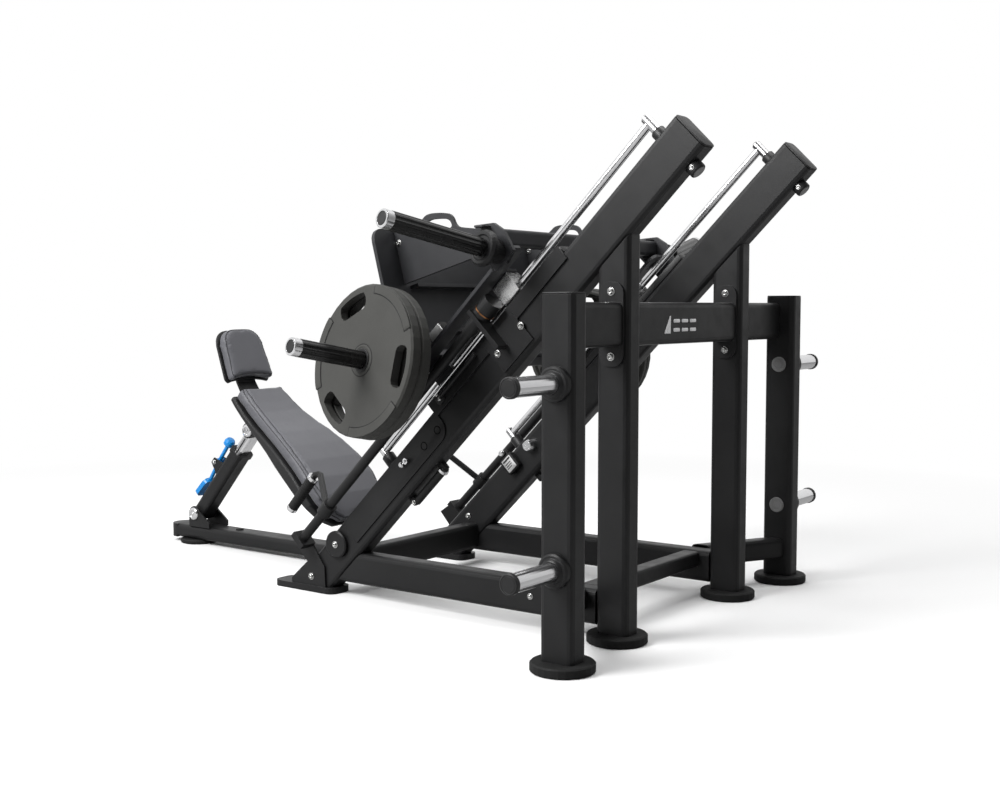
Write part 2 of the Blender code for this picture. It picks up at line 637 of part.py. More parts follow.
def footplate():
    """Wide plate, leaning back, with ribs across its rear face."""
    thick = 0.012
    tilt = (asin(FOOT_DIP) + radians(90), 0, 0)
    plate = slab("footplate", [rounded(FOOT_W, FOOT_LEN, 0.042, 5)], thick)
    put(plate, GRAPHITE, foot_point(FOOT_LEN / 2, thick / 2), tilt)
    for down in (0.185, 0.330):
        rib = box("footplate_rib_%d" % (down * 1000), (0.660, 0.010, 0.034),
                  foot_point(down, thick + 0.015), rotation=tilt)
        combine(plate, rib, "UNION")


def gusset(name, side):
    """Tapered plate from the back of the foot plate to the upper cross tube, with a loop handle."""
    back = CROSS_Y - 0.030 - GAP
    rear = 0.012 + GAP
    top, low = foot_point(0.002, rear), foot_point(0.175, rear)
    loop = [(-0.760, 1.1688), (-0.726, 1.190), (-0.705, 1.210), (-0.650, 1.212), (-0.608, 1.206),
            (-0.592, 1.168), (-0.560, 1.164)]
    outline = [top[1:]] + eased(loop) + [(back, 1.1505), (back, 1.102), low[1:]]
    grip = [(-0.670, 1.163), (-0.720, 1.165), (-0.700, 1.192), (-0.650, 1.194), (-0.614, 1.190),
            (-0.604, 1.162), (-0.670, 1.163)]
    plate = slab(name, [outline, eased(grip)[1:-1]], 0.010)
    put(plate, GRAPHITE, (side * 0.350, 0, 0), FACING_X)


def carriage():
    span = 2 * (WEB_X - 0.012 - GAP)
    upper = tube("upper_cross_tube", 0.050, 0.060, span, r=0.010)
    put(upper, GRAPHITE, (0, CROSS_Y, CROSS_Z), ALONG_X)
    lower = tube("lower_cross_tube", 0.050, 0.060, span, r=0.010)
    put(lower, GRAPHITE, (0, 0.036, PLATE_N + 0.010 + GAP + 0.025), ALONG_X, rail_frame)
    footplate()
    for side_name, side in both_sides():
        carriage_side("carriage_side_" + side_name, side)
        upper_bearing("upper_bearing_" + side_name, side)
        gusset("gusset_" + side_name, side)
        loading_horn("upper_horn_" + side_name, side, HORN_T[1], HORN_LEN)
        loading_horn("lower_horn_" + side_name, side, HORN_T[0], PLATE_SPOT + 2 * PLATE_THICK + 2 * GAP)
    weight_plates()


# ---------------------------------------------------------------- seat
# Seat face from top to bottom: half-width, y, z, and how far the shell swells out behind it.
SEAT_LINE = ((0.109, -1.803, 0.632, 0.000), (0.114, -1.782, 0.612, 0.000), (0.120, -1.740, 0.574, 0.000),
             (0.125, -1.698, 0.541, 0.002), (0.136, -1.640, 0.506, 0.008), (0.150, -1.580, 0.474, 0.015),
             (0.165, -1.512, 0.431, 0.022), (0.175, -1.446, 0.382, 0.024), (0.180, -1.388, 0.326, 0.020),
             (0.172, -1.342, 0.266, 0.010), (0.142, -1.311, 0.210, 0.002), (0.090, -1.298, 0.180, 0.000))
PAD_THICK, SHELL_THICK = 0.050, 0.020
REST_MID, REST_LEAN = (-1.877, 0.7575), radians(22.4)   # middle of the headrest's face, its lean
REST_FOOT_W, REST_TOP_W = 0.109, 0.099 # half-widths at its bottom and top
REST_HALF_H, REST_THICK = 0.1035, 0.050


def rest_point(along, behind):
    """Point in (y, z) on the headrest: distance up its face, and behind it."""
    return (REST_MID[0] - sin(REST_LEAN) * along - cos(REST_LEAN) * behind,
            REST_MID[1] + cos(REST_LEAN) * along - sin(REST_LEAN) * behind)


def seat_loft(name, front, thick, grow, radius, corners=3, swell=0):
    """Curved slab behind the seat line: front face set back, half-width grown, rounded edges."""
    points = [Vector((y, z)) for _, y, z, _ in SEAT_LINE]
    last = len(points) - 1
    rings = []
    for i, (half, _, _, bulge) in enumerate(SEAT_LINE):
        run = (points[min(i + 1, last)] - points[max(i - 1, 0)]).normalized()
        back = Vector((run.y, -run.x))
        deep = thick + swell * bulge
        mid = points[i] + back * (front + deep / 2)
        for x, depth in rounded(2 * (half + grow), deep, radius, corners):
            rings.append((x, mid.x - back.x * depth, mid.y - back.y * depth))
    count = len(rings) // len(SEAT_LINE)
    faces = [list(range(count)), list(range(len(rings) - count, len(rings)))]
    for i in range(last):
        for j in range(count):
            k = (j + 1) % count
            faces.append([i * count + j, i * count + k, (i + 1) * count + k, (i + 1) * count + j])
    mesh = bpy.data.meshes.new(name)
    mesh.from_pydata(rings, [], faces)
    obj = bpy.data.objects.new(name, mesh)
    parts.objects.link(obj)
    return to_mesh(obj)


def ear_outline(pin, base_a, base_b, r):
    """Lug seen from the side: a round nose about a pin, tapering to two base points."""
    facing = (Vector(base_a) + Vector(base_b)) / 2 - Vector(pin)
    turn = atan2(facing.y, facing.x)
    nose = arc(pin[0], pin[1], r, turn + radians(90), turn + radians(270), 8)
    return [tuple(base_b)] + [tuple(base_a)] + nose


def seat():
    pad = put(seat_loft("seat_pad", 0, PAD_THICK, 0, 0.016), VINYL)
    shell = put(seat_loft("seat_shell", PAD_THICK + GAP, SHELL_THICK, 0.004, 0.006, 2, 1), PLASTIC)
    strut_ear = ear_outline(STRUT_TOP, (-1.765, 0.512), (-1.690, 0.465), 0.030)
    front, rear = REST_THICK + GAP, REST_THICK + GAP + 0.009
    neck = [(-1.806, 0.555), (-1.835, 0.545), rest_point(-0.101, rear), rest_point(0.030, rear),
            rest_point(0.030, front), rest_point(-0.101, front), (-1.848, 0.592)]
    lugs = (("strut_a", 0.036, 0.008, strut_ear), ("strut_b", -0.036, 0.008, strut_ear),
            ("hinge", 0, 0.069, ear_outline(SEAT_PIVOT, (-1.386, 0.215), (-1.352, 0.155), 0.020)),
            ("neck", 0, 0.090, neck))
    for label, x, thick, outline in lugs:
        lug = slab("seat_shell_" + label, [outline], thick, cutters)
        put(lug, PLASTIC, (x, 0, 0), FACING_X)
        combine(shell, lug, "UNION")
    smooth(pad, 50)
    smooth(shell)


def rest_outline():
    """Headrest outline: a broad arch above, a wider and slightly hollowed foot below."""
    top, foot, high = REST_TOP_W, REST_FOOT_W, REST_HALF_H
    arch = arc(top - 0.060, high - 0.060, 0.060, 0, pi / 2, 5)
    corner = arc(0.018 - foot, 0.018 - high, 0.018, pi, 1.4 * pi, 3)
    reach = -corner[-1][0]
    under = [(x, -high + 0.013 * (1 - (x / foot) ** 2)) for x in (i * reach / 3 for i in (-2, -1, 0, 1, 2))]
    return (arch + [(-x, y) for x, y in reversed(arch)] + corner + under
            + [(-x, y) for x, y in reversed(corner)])


def headrest():
    """Rounded cushion on the neck above the seat."""
    pad = slab("headrest_pad", [rest_outline()], REST_THICK)
    put(pad, VINYL, (0, *rest_point(0, REST_THICK / 2)), (radians(90) + REST_LEAN, 0, 0))
    edge = pad.modifiers.new("edge", "BEVEL")
    edge.width, edge.segments, edge.limit_method, edge.angle_limit = 0.010, 3, "ANGLE", radians(60)
    smooth(pad, 50)


# ---------------------------------------------------------------- backrest strut
def strut_frame():
    """Empty on the lower pin, with local z along the strut."""
    lift = atan2(STRUT_TOP[1] - STRUT_LOW[1], STRUT_TOP[0] - STRUT_LOW[0])
    frame = bpy.data.objects.new("strut_frame", None)
    frame.location = (0, *STRUT_LOW)
    frame.rotation_euler = (lift - radians(90), 0, 0)
    frame.parent = datum
    parts.objects.link(frame)
    return frame


def strut():
    frame = strut_frame()
    length = hypot(STRUT_TOP[0] - STRUT_LOW[0], STRUT_TOP[1] - STRUT_LOW[1])
    mouth, eye_r = 0.343, 0.027
    outer = slab("strut_outer", [rounded(0.070, 0.058, 0.014)], mouth)
    put(outer, BLACK, (0, 0, mouth / 2), parent=frame)
    eye = turned("strut_eye", [(0, 0.0415), (eye_r, 0.0415), (eye_r, -0.0415), (0, -0.0415)], 24, cutters)
    put(eye, BLACK, rotation=ALONG_X, parent=frame)
    collar = slab("strut_collar", [rounded(0.080, 0.068, 0.018)], 0.018, cutters)
    put(collar, BLACK, (0, 0, mouth - 0.009), parent=frame)
    pivot = lever_place(length)
    ears = [slab("lever_ear_%d" % i, [[(-0.028, pivot[1] - 0.030), (pivot[0] - 0.012, pivot[1] - 0.012),
                                       (pivot[0] - 0.012, pivot[1] + 0.012), (-0.028, pivot[1] + 0.030)]],
                 0.006, cutters) for i in (0, 1)]
    for ear, x in zip(ears, (0.022, -0.022)):
        put(ear, BLACK, (x, 0, 0), FACING_X, frame)
    core = slab("strut_core", [rounded(0.052 + 2 * GAP, 0.040 + 2 * GAP, 0.010)], 0.5, cutters)
    put(core, BLACK, (0, 0, 0.040 + 0.25), parent=frame)
    for tool in [eye, collar] + ears:
        combine(outer, tool, "UNION")
    combine(outer, core, "DIFFERENCE")
    low = 0.110
    inner = slab("strut_inner", [rounded(0.052, 0.040, 0.010)], length - low)
    put(inner, CHROME, (0, 0, (length + low) / 2), parent=frame)
    top_eye = turned("strut_top_eye", [(0, 0.0315), (0.024, 0.0315), (0.024, -0.0315), (0, -0.0315)], 24,
                     cutters)
    put(top_eye, CHROME, (0, 0, length), ALONG_X, frame)
    combine(inner, top_eye, "UNION")
    smooth(outer)
    smooth(inner)


def lever_place(length):
    """Adjuster pin in the strut's own plane: across it, then along it."""
    u = Vector((STRUT_TOP[0] - STRUT_LOW[0], STRUT_TOP[1] - STRUT_LOW[1])) / length
    d = Vector((LEVER_PIVOT[0] - STRUT_LOW[0], LEVER_PIVOT[1] - STRUT_LOW[1]))
    return (d.x * u.y - d.y * u.x, d.dot(u))


def adjuster_lever():
    """Bell crank with a round knob above its pin and a broad paddle below."""
    y, z = LEVER_PIVOT
    hub = turned("adjuster_lever", [(0, 0.0185), (0.013, 0.0185), (0.013, -0.0185), (0, -0.0185)], 24)
    put(hub, BLUE, (0, y, z), ALONG_X)
    arm = pipe("lever_arm", [(0, -0.085, -0.114), (0, -0.057, -0.084), (0, 0, 0), (0, 0.059, 0.074)], 0.008,
               cutters)
    put(arm, BLUE, (0, y, z))
    knob = turned("lever_knob", [(0, 0.020), (0.016, 0.018), (0.021, 0.008), (0.021, -0.006), (0.012, -0.014),
                                 (0, -0.014)], 24, cutters)
    put(knob, BLUE, (0, y + 0.059, z + 0.074), (radians(-38), 0, 0))
    paddle = slab("lever_paddle", [rounded(0.056, 0.090, 0.020, 4)], 0.018, cutters)
    put(paddle, BLUE, (0, y - 0.081, z - 0.106), (radians(44), 0, 0))
    for tool in (arm, knob, paddle):
        combine(hub, tool, "UNION")
    smooth(hub)


welded_frame()
guide_rods()
safety_gear()
carriage()
seat()
headrest()
strut()
adjuster_lever()
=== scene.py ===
"""Looks for the plate-loaded leg press: materials, upholstery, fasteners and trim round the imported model."""

import json
from math import radians, sin, cos, pi, hypot

import bpy
import bmesh
from mathutils import Matrix, Vector
from mathutils.bvhtree import BVHTree


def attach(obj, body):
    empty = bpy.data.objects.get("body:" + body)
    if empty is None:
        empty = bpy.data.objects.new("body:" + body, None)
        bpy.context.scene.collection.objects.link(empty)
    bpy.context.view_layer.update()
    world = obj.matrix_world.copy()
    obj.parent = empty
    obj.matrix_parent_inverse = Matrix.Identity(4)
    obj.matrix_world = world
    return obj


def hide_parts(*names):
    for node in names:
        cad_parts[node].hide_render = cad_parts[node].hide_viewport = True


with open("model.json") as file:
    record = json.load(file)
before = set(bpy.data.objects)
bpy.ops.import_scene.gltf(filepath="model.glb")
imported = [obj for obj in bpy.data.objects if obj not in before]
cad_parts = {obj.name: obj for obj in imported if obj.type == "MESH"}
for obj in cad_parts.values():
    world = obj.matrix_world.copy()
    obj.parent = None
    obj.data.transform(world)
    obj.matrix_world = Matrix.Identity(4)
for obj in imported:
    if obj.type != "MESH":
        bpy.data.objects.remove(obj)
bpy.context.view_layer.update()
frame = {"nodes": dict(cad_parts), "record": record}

# ---------------------------------------------------------------- frames and driving dimensions
DATUM_Y = 1.0345                                        # floor line of the outer uprights
DATUM = Matrix.Translation((0, DATUM_Y, 0))
RAIL = DATUM @ Matrix.Rotation(radians(45), 4, "X")     # y runs up the rail, z out of it
SIDES = (("right", 1), ("left", -1))
RAIL_X, BEAM_FACE, INNER_FACE = 0.344, 0.379, 0.309
OUTER_X, INNER_Y = 0.672, -0.035
SHAFT_X, SHAFT_N = 0.4115, 0.961
HORN_TILT, HORN_T, HORN_TIP = radians(15), (0.036, 0.512), (0.865, 1.1265)
HORN_LEN = 0.350
PLATE_THICK, PLATE_SPOT, SLOT_TURN = 0.037, 0.247, radians(40)
STRUT_LOW, STRUT_TOP = (-2.140, 0.119), (-1.840, 0.463)
REST_MID, REST_LEAN = (-1.877, 0.7575), radians(22.4)
REST_FOOT_W, REST_TOP_W, REST_HALF_H = 0.109, 0.099, 0.1035
# Up the rail: rod pins, bumper, label block and guard strip. Across and out of it: spring, damper, boss.
ROD_LOW_T, ROD_TOP_T, BUMPER_T, BLOCK_T, STRIP_T = -0.290, 1.043, 1.050, -0.340, 0.298
SPRING_X, DAMPER_N, BOSS_SPOT = 0.397, 0.767, (-0.630, 0.867)
# Heights above the floor: bolts of the crossbar's flanges, storage horns.
FLANGE_BOLT_Z, STORAGE_Z = (0.972, 0.795), (0.738, 0.265)
# Seat face from top to bottom: half-width, y, z.
SEAT_LINE = ((0.109, -1.803, 0.632), (0.114, -1.782, 0.612), (0.120, -1.740, 0.574), (0.125, -1.698, 0.541),
             (0.136, -1.640, 0.506), (0.150, -1.580, 0.474), (0.165, -1.512, 0.431), (0.175, -1.446, 0.382),
             (0.180, -1.388, 0.326), (0.172, -1.342, 0.266), (0.142, -1.311, 0.210), (0.090, -1.298, 0.180))


# ---------------------------------------------------------------- materials
def link(tree, out_node, out_name, in_node, in_name):
    """Join an output of one node to an input of another."""
    tree.links.new(out_node.outputs[out_name], in_node.inputs[in_name])


def add_node(tree, kind, **values):
    """New shader node with its plain inputs filled in."""
    node = tree.nodes.new("ShaderNode" + kind)
    for key, value in values.items():
        if key in node.inputs:
            node.inputs[key].default_value = value
        else:
            setattr(node, key, value)
    return node


def noise(tree, coords, scale, detail=4.0, stretch=(1, 1, 1)):
    """Noise texture in object space, stretched along chosen axes."""
    spread = add_node(tree, "Mapping", Scale=stretch)
    link(tree, coords, "Object", spread, "Vector")
    made = add_node(tree, "TexNoise", Scale=scale, Detail=detail)
    link(tree, spread, "Vector", made, "Vector")
    return made


def ramp(tree, source, output, low, high, to_low, to_high):
    """Range of a texture mapped to a new range, clamped."""
    made = tree.nodes.new("ShaderNodeMapRange")
    for index, value in zip((1, 2, 3, 4), (low, high, to_low, to_high)):
        made.inputs[index].default_value = value
    tree.links.new(source.outputs[output], made.inputs[0])
    return made


def blend_color(tree, factor, a, b):
    """Mix node between two colours or colour outputs."""
    mix = tree.nodes.new("ShaderNodeMix")
    mix.data_type = "RGBA"
    tree.links.new(factor.outputs[0], mix.inputs[0])
    for socket, value in ((mix.inputs[6], a), (mix.inputs[7], b)):
        if isinstance(value, tuple):
            socket.default_value = (*value, 1.0)
        else:
            tree.links.new(value.outputs[2], socket)
    return mix


def finish_material(name, color, rough, spread=0.06, metallic=0.0, specular=0.5, mottle=(7.0, 0.14),
                    grain=(900.0, 0.25, 0.0002), stretch=(1, 1, 1), wear=None, edge=0.0012, cells=0.0,
                    coat=0.0, sheen=0.0, dust=0.0):
    """Layered finish: broad tone changes, fine grain, varied gloss, softened and worn edges."""
    mat = bpy.data.materials.new(name)
    mat.use_nodes = True
    tree = mat.node_tree
    shader = tree.nodes["Principled BSDF"]
    shader.inputs["Metallic"].default_value = metallic
    shader.inputs["Specular IOR Level"].default_value = specular
    shader.inputs["Coat Weight"].default_value = coat
    shader.inputs["Sheen Weight"].default_value = sheen
    shader.inputs["Sheen Roughness"].default_value = 0.45
    coords = tree.nodes.new("ShaderNodeTexCoord")
    geometry = tree.nodes.new("ShaderNodeNewGeometry")

    broad = noise(tree, coords, mottle[0], 5.0)
    tone = ramp(tree, broad, "Fac", 0.3, 0.7, 0.0, 1.0)
    low = tuple(c * (1 - mottle[1]) for c in color)
    high = tuple(c * (1 + mottle[1]) for c in color)
    shade = blend_color(tree, tone, low, high)
    if dust:
        specks = ramp(tree, noise(tree, coords, 260.0, 6.0), "Fac", 0.60, 0.78, 0.0, dust)
        shade = blend_color(tree, specks, shade, tuple(c * 1.9 + 0.01 for c in color))

    soft = add_node(tree, "Bevel", samples=4, Radius=edge)
    if wear:
        facing = tree.nodes.new("ShaderNodeVectorMath")
        facing.operation = "DOT_PRODUCT"
        link(tree, soft, "Normal", facing, 0)
        link(tree, geometry, "Normal", facing, 1)
        rim = ramp(tree, facing, "Value", 0.99, 0.86, 0.0, wear[1])
        patch = ramp(tree, noise(tree, coords, 45.0, 6.0), "Fac", 0.42, 0.66, 0.15, 1.0)
        amount = tree.nodes.new("ShaderNodeMath")
        amount.operation = "MULTIPLY"
        link(tree, rim, 0, amount, 0)
        link(tree, patch, 0, amount, 1)
        shade = blend_color(tree, amount, shade, wear[0])
    tree.links.new(shade.outputs[2], shader.inputs["Base Color"])

    gloss = ramp(tree, noise(tree, coords, mottle[0] * 3.1, 6.0, stretch), "Fac", 0.3, 0.7,
                 rough - spread, rough + spread)
    tree.links.new(gloss.outputs[0], shader.inputs["Roughness"])

    bump = add_node(tree, "Bump", Strength=grain[1], Distance=grain[2])
    link(tree, soft, "Normal", bump, "Normal")
    if cells:
        pores = add_node(tree, "TexVoronoi", Scale=cells)
        link(tree, coords, "Object", pores, "Vector")
        link(tree, pores, "Distance", bump, "Height")
        crease = add_node(tree, "Bump", Strength=0.35, Distance=0.0006)
        link(tree, noise(tree, coords, grain[0] * 0.12, 3.0), "Fac", crease, "Height")
        link(tree, bump, "Normal", crease, "Normal")
        bump = crease
    else:
        link(tree, noise(tree, coords, grain[0], 3.0, stretch), "Fac", bump, "Height")
    link(tree, bump, "Normal", shader, "Normal")
    return mat


GREY_EDGE, PALE_EDGE = (0.060, 0.060, 0.062), (0.10, 0.10, 0.105)
LOOKS = {
    "black_powder_coat": finish_material("coat_black", (0.013, 0.013, 0.0135), 0.40, specular=0.26,
                                         grain=(1100.0, 0.35, 0.0002), wear=(GREY_EDGE, 0.7), edge=0.0016),
    "graphite_powder_coat": finish_material("coat_graphite", (0.028, 0.0285, 0.031), 0.42, specular=0.30,
                                            grain=(1000.0, 0.35, 0.0002), wear=(PALE_EDGE, 0.6), edge=0.0014),
    "chrome": finish_material("chrome_plate", (0.80, 0.80, 0.81), 0.20, spread=0.04, metallic=1.0,
                              mottle=(9.0, 0.03), grain=(60.0, 0.03, 0.0001), edge=0.0003),
    "black_rubber": finish_material("rubber_moulded", (0.012, 0.012, 0.012), 0.70, specular=0.25, dust=0.35,
                                    grain=(700.0, 0.5, 0.0003), wear=(GREY_EDGE, 0.4), edge=0.0015),
    "plate_urethane": finish_material("plate_coating", (0.047, 0.047, 0.044), 0.58, spread=0.08,
                                      specular=0.22, dust=0.25, mottle=(5.0, 0.10),
                                      grain=(820.0, 0.55, 0.0003), wear=(PALE_EDGE, 0.45), edge=0.0018),
    "machined_aluminium": finish_material("aluminium_machined", (0.70, 0.70, 0.70), 0.28, metallic=1.0,
                                          mottle=(12.0, 0.05), grain=(240.0, 0.22, 0.0002),
                                          stretch=(1.0, 9.0, 9.0), edge=0.0010),
    "grey_vinyl": finish_material("vinyl_grained", (0.097, 0.098, 0.109), 0.48, spread=0.05, specular=0.35,
                                  mottle=(6.0, 0.06), grain=(420.0, 0.45, 0.0004), cells=620.0, sheen=0.15,
                                  edge=0.0010),
    "black_plastic": finish_material("plastic_moulded", (0.014, 0.014, 0.0145), 0.42, specular=0.3,
                                     grain=(1300.0, 0.5, 0.0002), wear=(GREY_EDGE, 0.35), edge=0.0014),
    "blue_plastic": finish_material("plastic_blue", (0.003, 0.235, 0.640), 0.34, specular=0.5, coat=0.15,
                                    mottle=(14.0, 0.10), grain=(600.0, 0.15, 0.0002), edge=0.0016),
}
BOLT = finish_material("zinc_fastener", (0.66, 0.66, 0.65), 0.26, metallic=1.0, mottle=(60.0, 0.10),
                       grain=(500.0, 0.2, 0.0001), edge=0.0006)
BRONZE = finish_material("bronze_bush", (0.34, 0.155, 0.065), 0.36, metallic=1.0, mottle=(40.0, 0.15),
                         grain=(400.0, 0.2, 0.0002), edge=0.0006)
LABEL = finish_material("label_silver", (0.62, 0.62, 0.62), 0.38, metallic=0.6, mottle=(30.0, 0.05),
                        grain=(900.0, 0.1, 0.0001), edge=0.0005)
MARK = finish_material("mark_pale", (0.93, 0.93, 0.94), 0.42, mottle=(40.0, 0.05), grain=(900.0, 0.2, 0.0001),
                       edge=0.0005)
PLUG = finish_material("plug_grey", (0.21, 0.21, 0.21), 0.48, mottle=(30.0, 0.10),
                       grain=(800.0, 0.3, 0.0002), edge=0.0010)
SLEEVE = finish_material("sleeve_black", (0.008, 0.008, 0.008), 0.26, spread=0.05, specular=0.45,
                         grain=(900.0, 0.2, 0.0001), wear=(GREY_EDGE, 0.5), edge=0.0007)
# Near-black finish of the doubler's holes: painted shade, standing in for the shade inside the holes.
BORE_PAINTED_SHADE = finish_material("bore_painted_shade", (0.0015, 0.0015, 0.0015), 0.85, specular=0.05, edge=0.0004)
# Seam cords: the cords are real, but their colour, far darker than the vinyl, is painted shade of the seam's
# groove.
SEAM_PAINTED_SHADE = finish_material("vinyl_seam_painted_shade", (0.026, 0.026, 0.030), 0.62, mottle=(60.0, 0.12),
                       grain=(1500.0, 0.6, 0.0003), stretch=(1.0, 3.0, 3.0), edge=0.0006)

for row in frame["record"]["subparts"]:
    node = frame["nodes"][row["node"]]
    for place_slot in node.material_slots:
        place_slot.material = LOOKS[row["material_slot"]]


# ---------------------------------------------------------------- shape helpers
def arc(cx, cy, r, a0, a1, steps):
    return [(cx + r * cos(a0 + (a1 - a0) * i / steps), cy + r * sin(a0 + (a1 - a0) * i / steps))
            for i in range(steps + 1)]


def rounded(w, h, radii, steps=4, cx=0.0, cy=0.0):
    """Rounded rectangle; radii run from the upper right corner round to the lower right."""
    if not isinstance(radii, tuple):
        radii = (radii,) * 4
    points = []
    for i, ((sx, sy), r) in enumerate(zip(((1, 1), (-1, 1), (-1, -1), (1, -1)), radii)):
        points += arc(cx + sx * (w / 2 - r), cy + sy * (h / 2 - r), r, i * pi / 2, (i + 1) * pi / 2, steps)
    return points


def place(space, spot, facing=(0, 0, 1)):
    """Matrix that puts local z along facing, at spot, in that space."""
    turn = Vector(facing).to_track_quat("Z", "Y").to_matrix().to_4x4()
    return space @ Matrix.Translation(spot) @ turn


class Piece:
    """Shapes that share a body and a finish, gathered into one object."""

    def __init__(self, name, body, look):
        self.name, self.body = name, body
        self.look = LOOKS.get(look, look)
        self.slot = look if look in LOOKS else None
        self.work = bmesh.new()

    def take(self, part, matrix):
        bmesh.ops.recalc_face_normals(part, faces=part.faces)
        mesh = bpy.data.meshes.new("part")
        part.to_mesh(mesh)
        part.free()
        mesh.transform(matrix)
        if matrix.determinant() < 0:
            mesh.flip_normals()
        self.work.from_mesh(mesh)
        bpy.data.meshes.remove(mesh)

    def turned(self, profile, matrix, steps=32):
        """Solid of revolution from (radius, z) points, top to bottom."""
        part = bmesh.new()
        rings = []
        for r, z in profile:
            if r == 0:
                rings.append([part.verts.new((0, 0, z))])
            else:
                rings.append([part.verts.new((r * cos(2 * pi * i / steps), r * sin(2 * pi * i / steps), z))
                              for i in range(steps)])
        pairs = list(zip(rings, rings[1:]))
        if profile[0][0] and profile[-1][0]:
            pairs.append((rings[-1], rings[0]))
        for upper, lower in pairs:
            for i in range(steps):
                j = (i + 1) % steps
                corners = [upper[i % len(upper)], upper[j % len(upper)], lower[j % len(lower)],
                           lower[i % len(lower)]]
                face = list(dict.fromkeys(corners))
                if len(face) > 2:
                    part.faces.new(face)
        self.take(part, matrix)

    def prism(self, outline, depth, matrix, edge=0.0, segments=2):
        """Outline extruded about its own plane, with its rims rounded."""
        part = bmesh.new()
        low = [part.verts.new((x, y, -depth / 2)) for x, y in outline]
        high = [part.verts.new((x, y, depth / 2)) for x, y in outline]
        part.faces.new(reversed(low))
        part.faces.new(high)
        for i in range(len(low)):
            j = (i + 1) % len(low)
            part.faces.new((low[i], low[j], high[j], high[i]))
        if edge:
            rims = [e for e in part.edges if abs(e.verts[0].co.z - e.verts[1].co.z) < 1e-9]
            bmesh.ops.bevel(part, geom=rims, offset=edge, segments=segments, profile=0.5, affect="EDGES")
        self.take(part, matrix)

    def bar(self, points, radius, space=DATUM, steps=14):
        """Round bar along a smooth line of points, with filled, slightly rounded ends."""
        part = bmesh.new()
        line = [Vector(p) for p in points]
        runs = [(line[min(i + 1, len(line) - 1)] - line[max(i - 1, 0)]).normalized()
                for i in range(len(line))]
        side = runs[0].orthogonal().normalized()
        rings = []
        stations = [(line[0], runs[0], 0.7)] + [(p, run, 1.0) for p, run in zip(line, runs)]
        stations.append((line[-1], runs[-1], 0.7))
        for index, (p, run, size) in enumerate(stations):
            if index == 1:
                p = p + run * radius * 0.2
            if index == len(stations) - 2:
                p = p - run * radius * 0.2
            side = (side - run * side.dot(run)).normalized()
            other = run.cross(side)
            angles = [2 * pi * i / steps for i in range(steps)]
            rings.append([part.verts.new(p + (side * cos(a) + other * sin(a)) * radius * size)
                          for a in angles])
        for upper, lower in zip(rings, rings[1:]):
            for i in range(steps):
                j = (i + 1) % steps
                part.faces.new((upper[i], upper[j], lower[j], lower[i]))
        part.faces.new(rings[0])
        part.faces.new(rings[-1])
        self.take(part, space)

    def done(self):
        mesh = bpy.data.meshes.new(self.name)
        self.work.to_mesh(mesh)
        self.work.free()
        mesh.materials.append(self.look)
        mesh.shade_smooth()
        mesh.set_sharp_from_angle(angle=radians(38))
        obj = bpy.data.objects.new(self.name, mesh)
        bpy.context.scene.collection.objects.link(obj)
        if self.body:
            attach(obj, self.body)
        return obj


def bolt(piece, space, spot, facing, r=0.011):
    """Washer and button head with a socket."""
    k = r / 0.011
    at = place(space, spot, facing)
    piece.turned([(0, 0.0018 * k), (0.0110 * k, 0.0018 * k), (0.0115 * k, 0.0012 * k), (0.0115 * k, 0),
                  (0, 0)], at, 28)
    head = [(0, 0.0035), (0.0036, 0.0035), (0.0040, 0.0072), (0.0056, 0.0074), (0.0076, 0.0060),
            (0.0086, 0.0036), (0.0086, 0.0010), (0, 0.0010)]
    piece.turned([(x * k, z * k) for x, z in head], at, 24)


def knob_nut(piece, space, spot, facing, r=0.010, height=0.009):
    """Hexagonal nut with a domed stud end."""
    at = place(space, spot, facing)
    piece.prism(arc(0, 0, r, 0, 2 * pi, 6)[:-1], height, at @ Matrix.Translation((0, 0, height / 2)), 0.0008)
    piece.turned([(0, height + 0.005), (r * 0.35, height + 0.004), (r * 0.48, height + 0.0015),
                  (r * 0.48, height - 0.002), (0, height - 0.002)], at, 20)


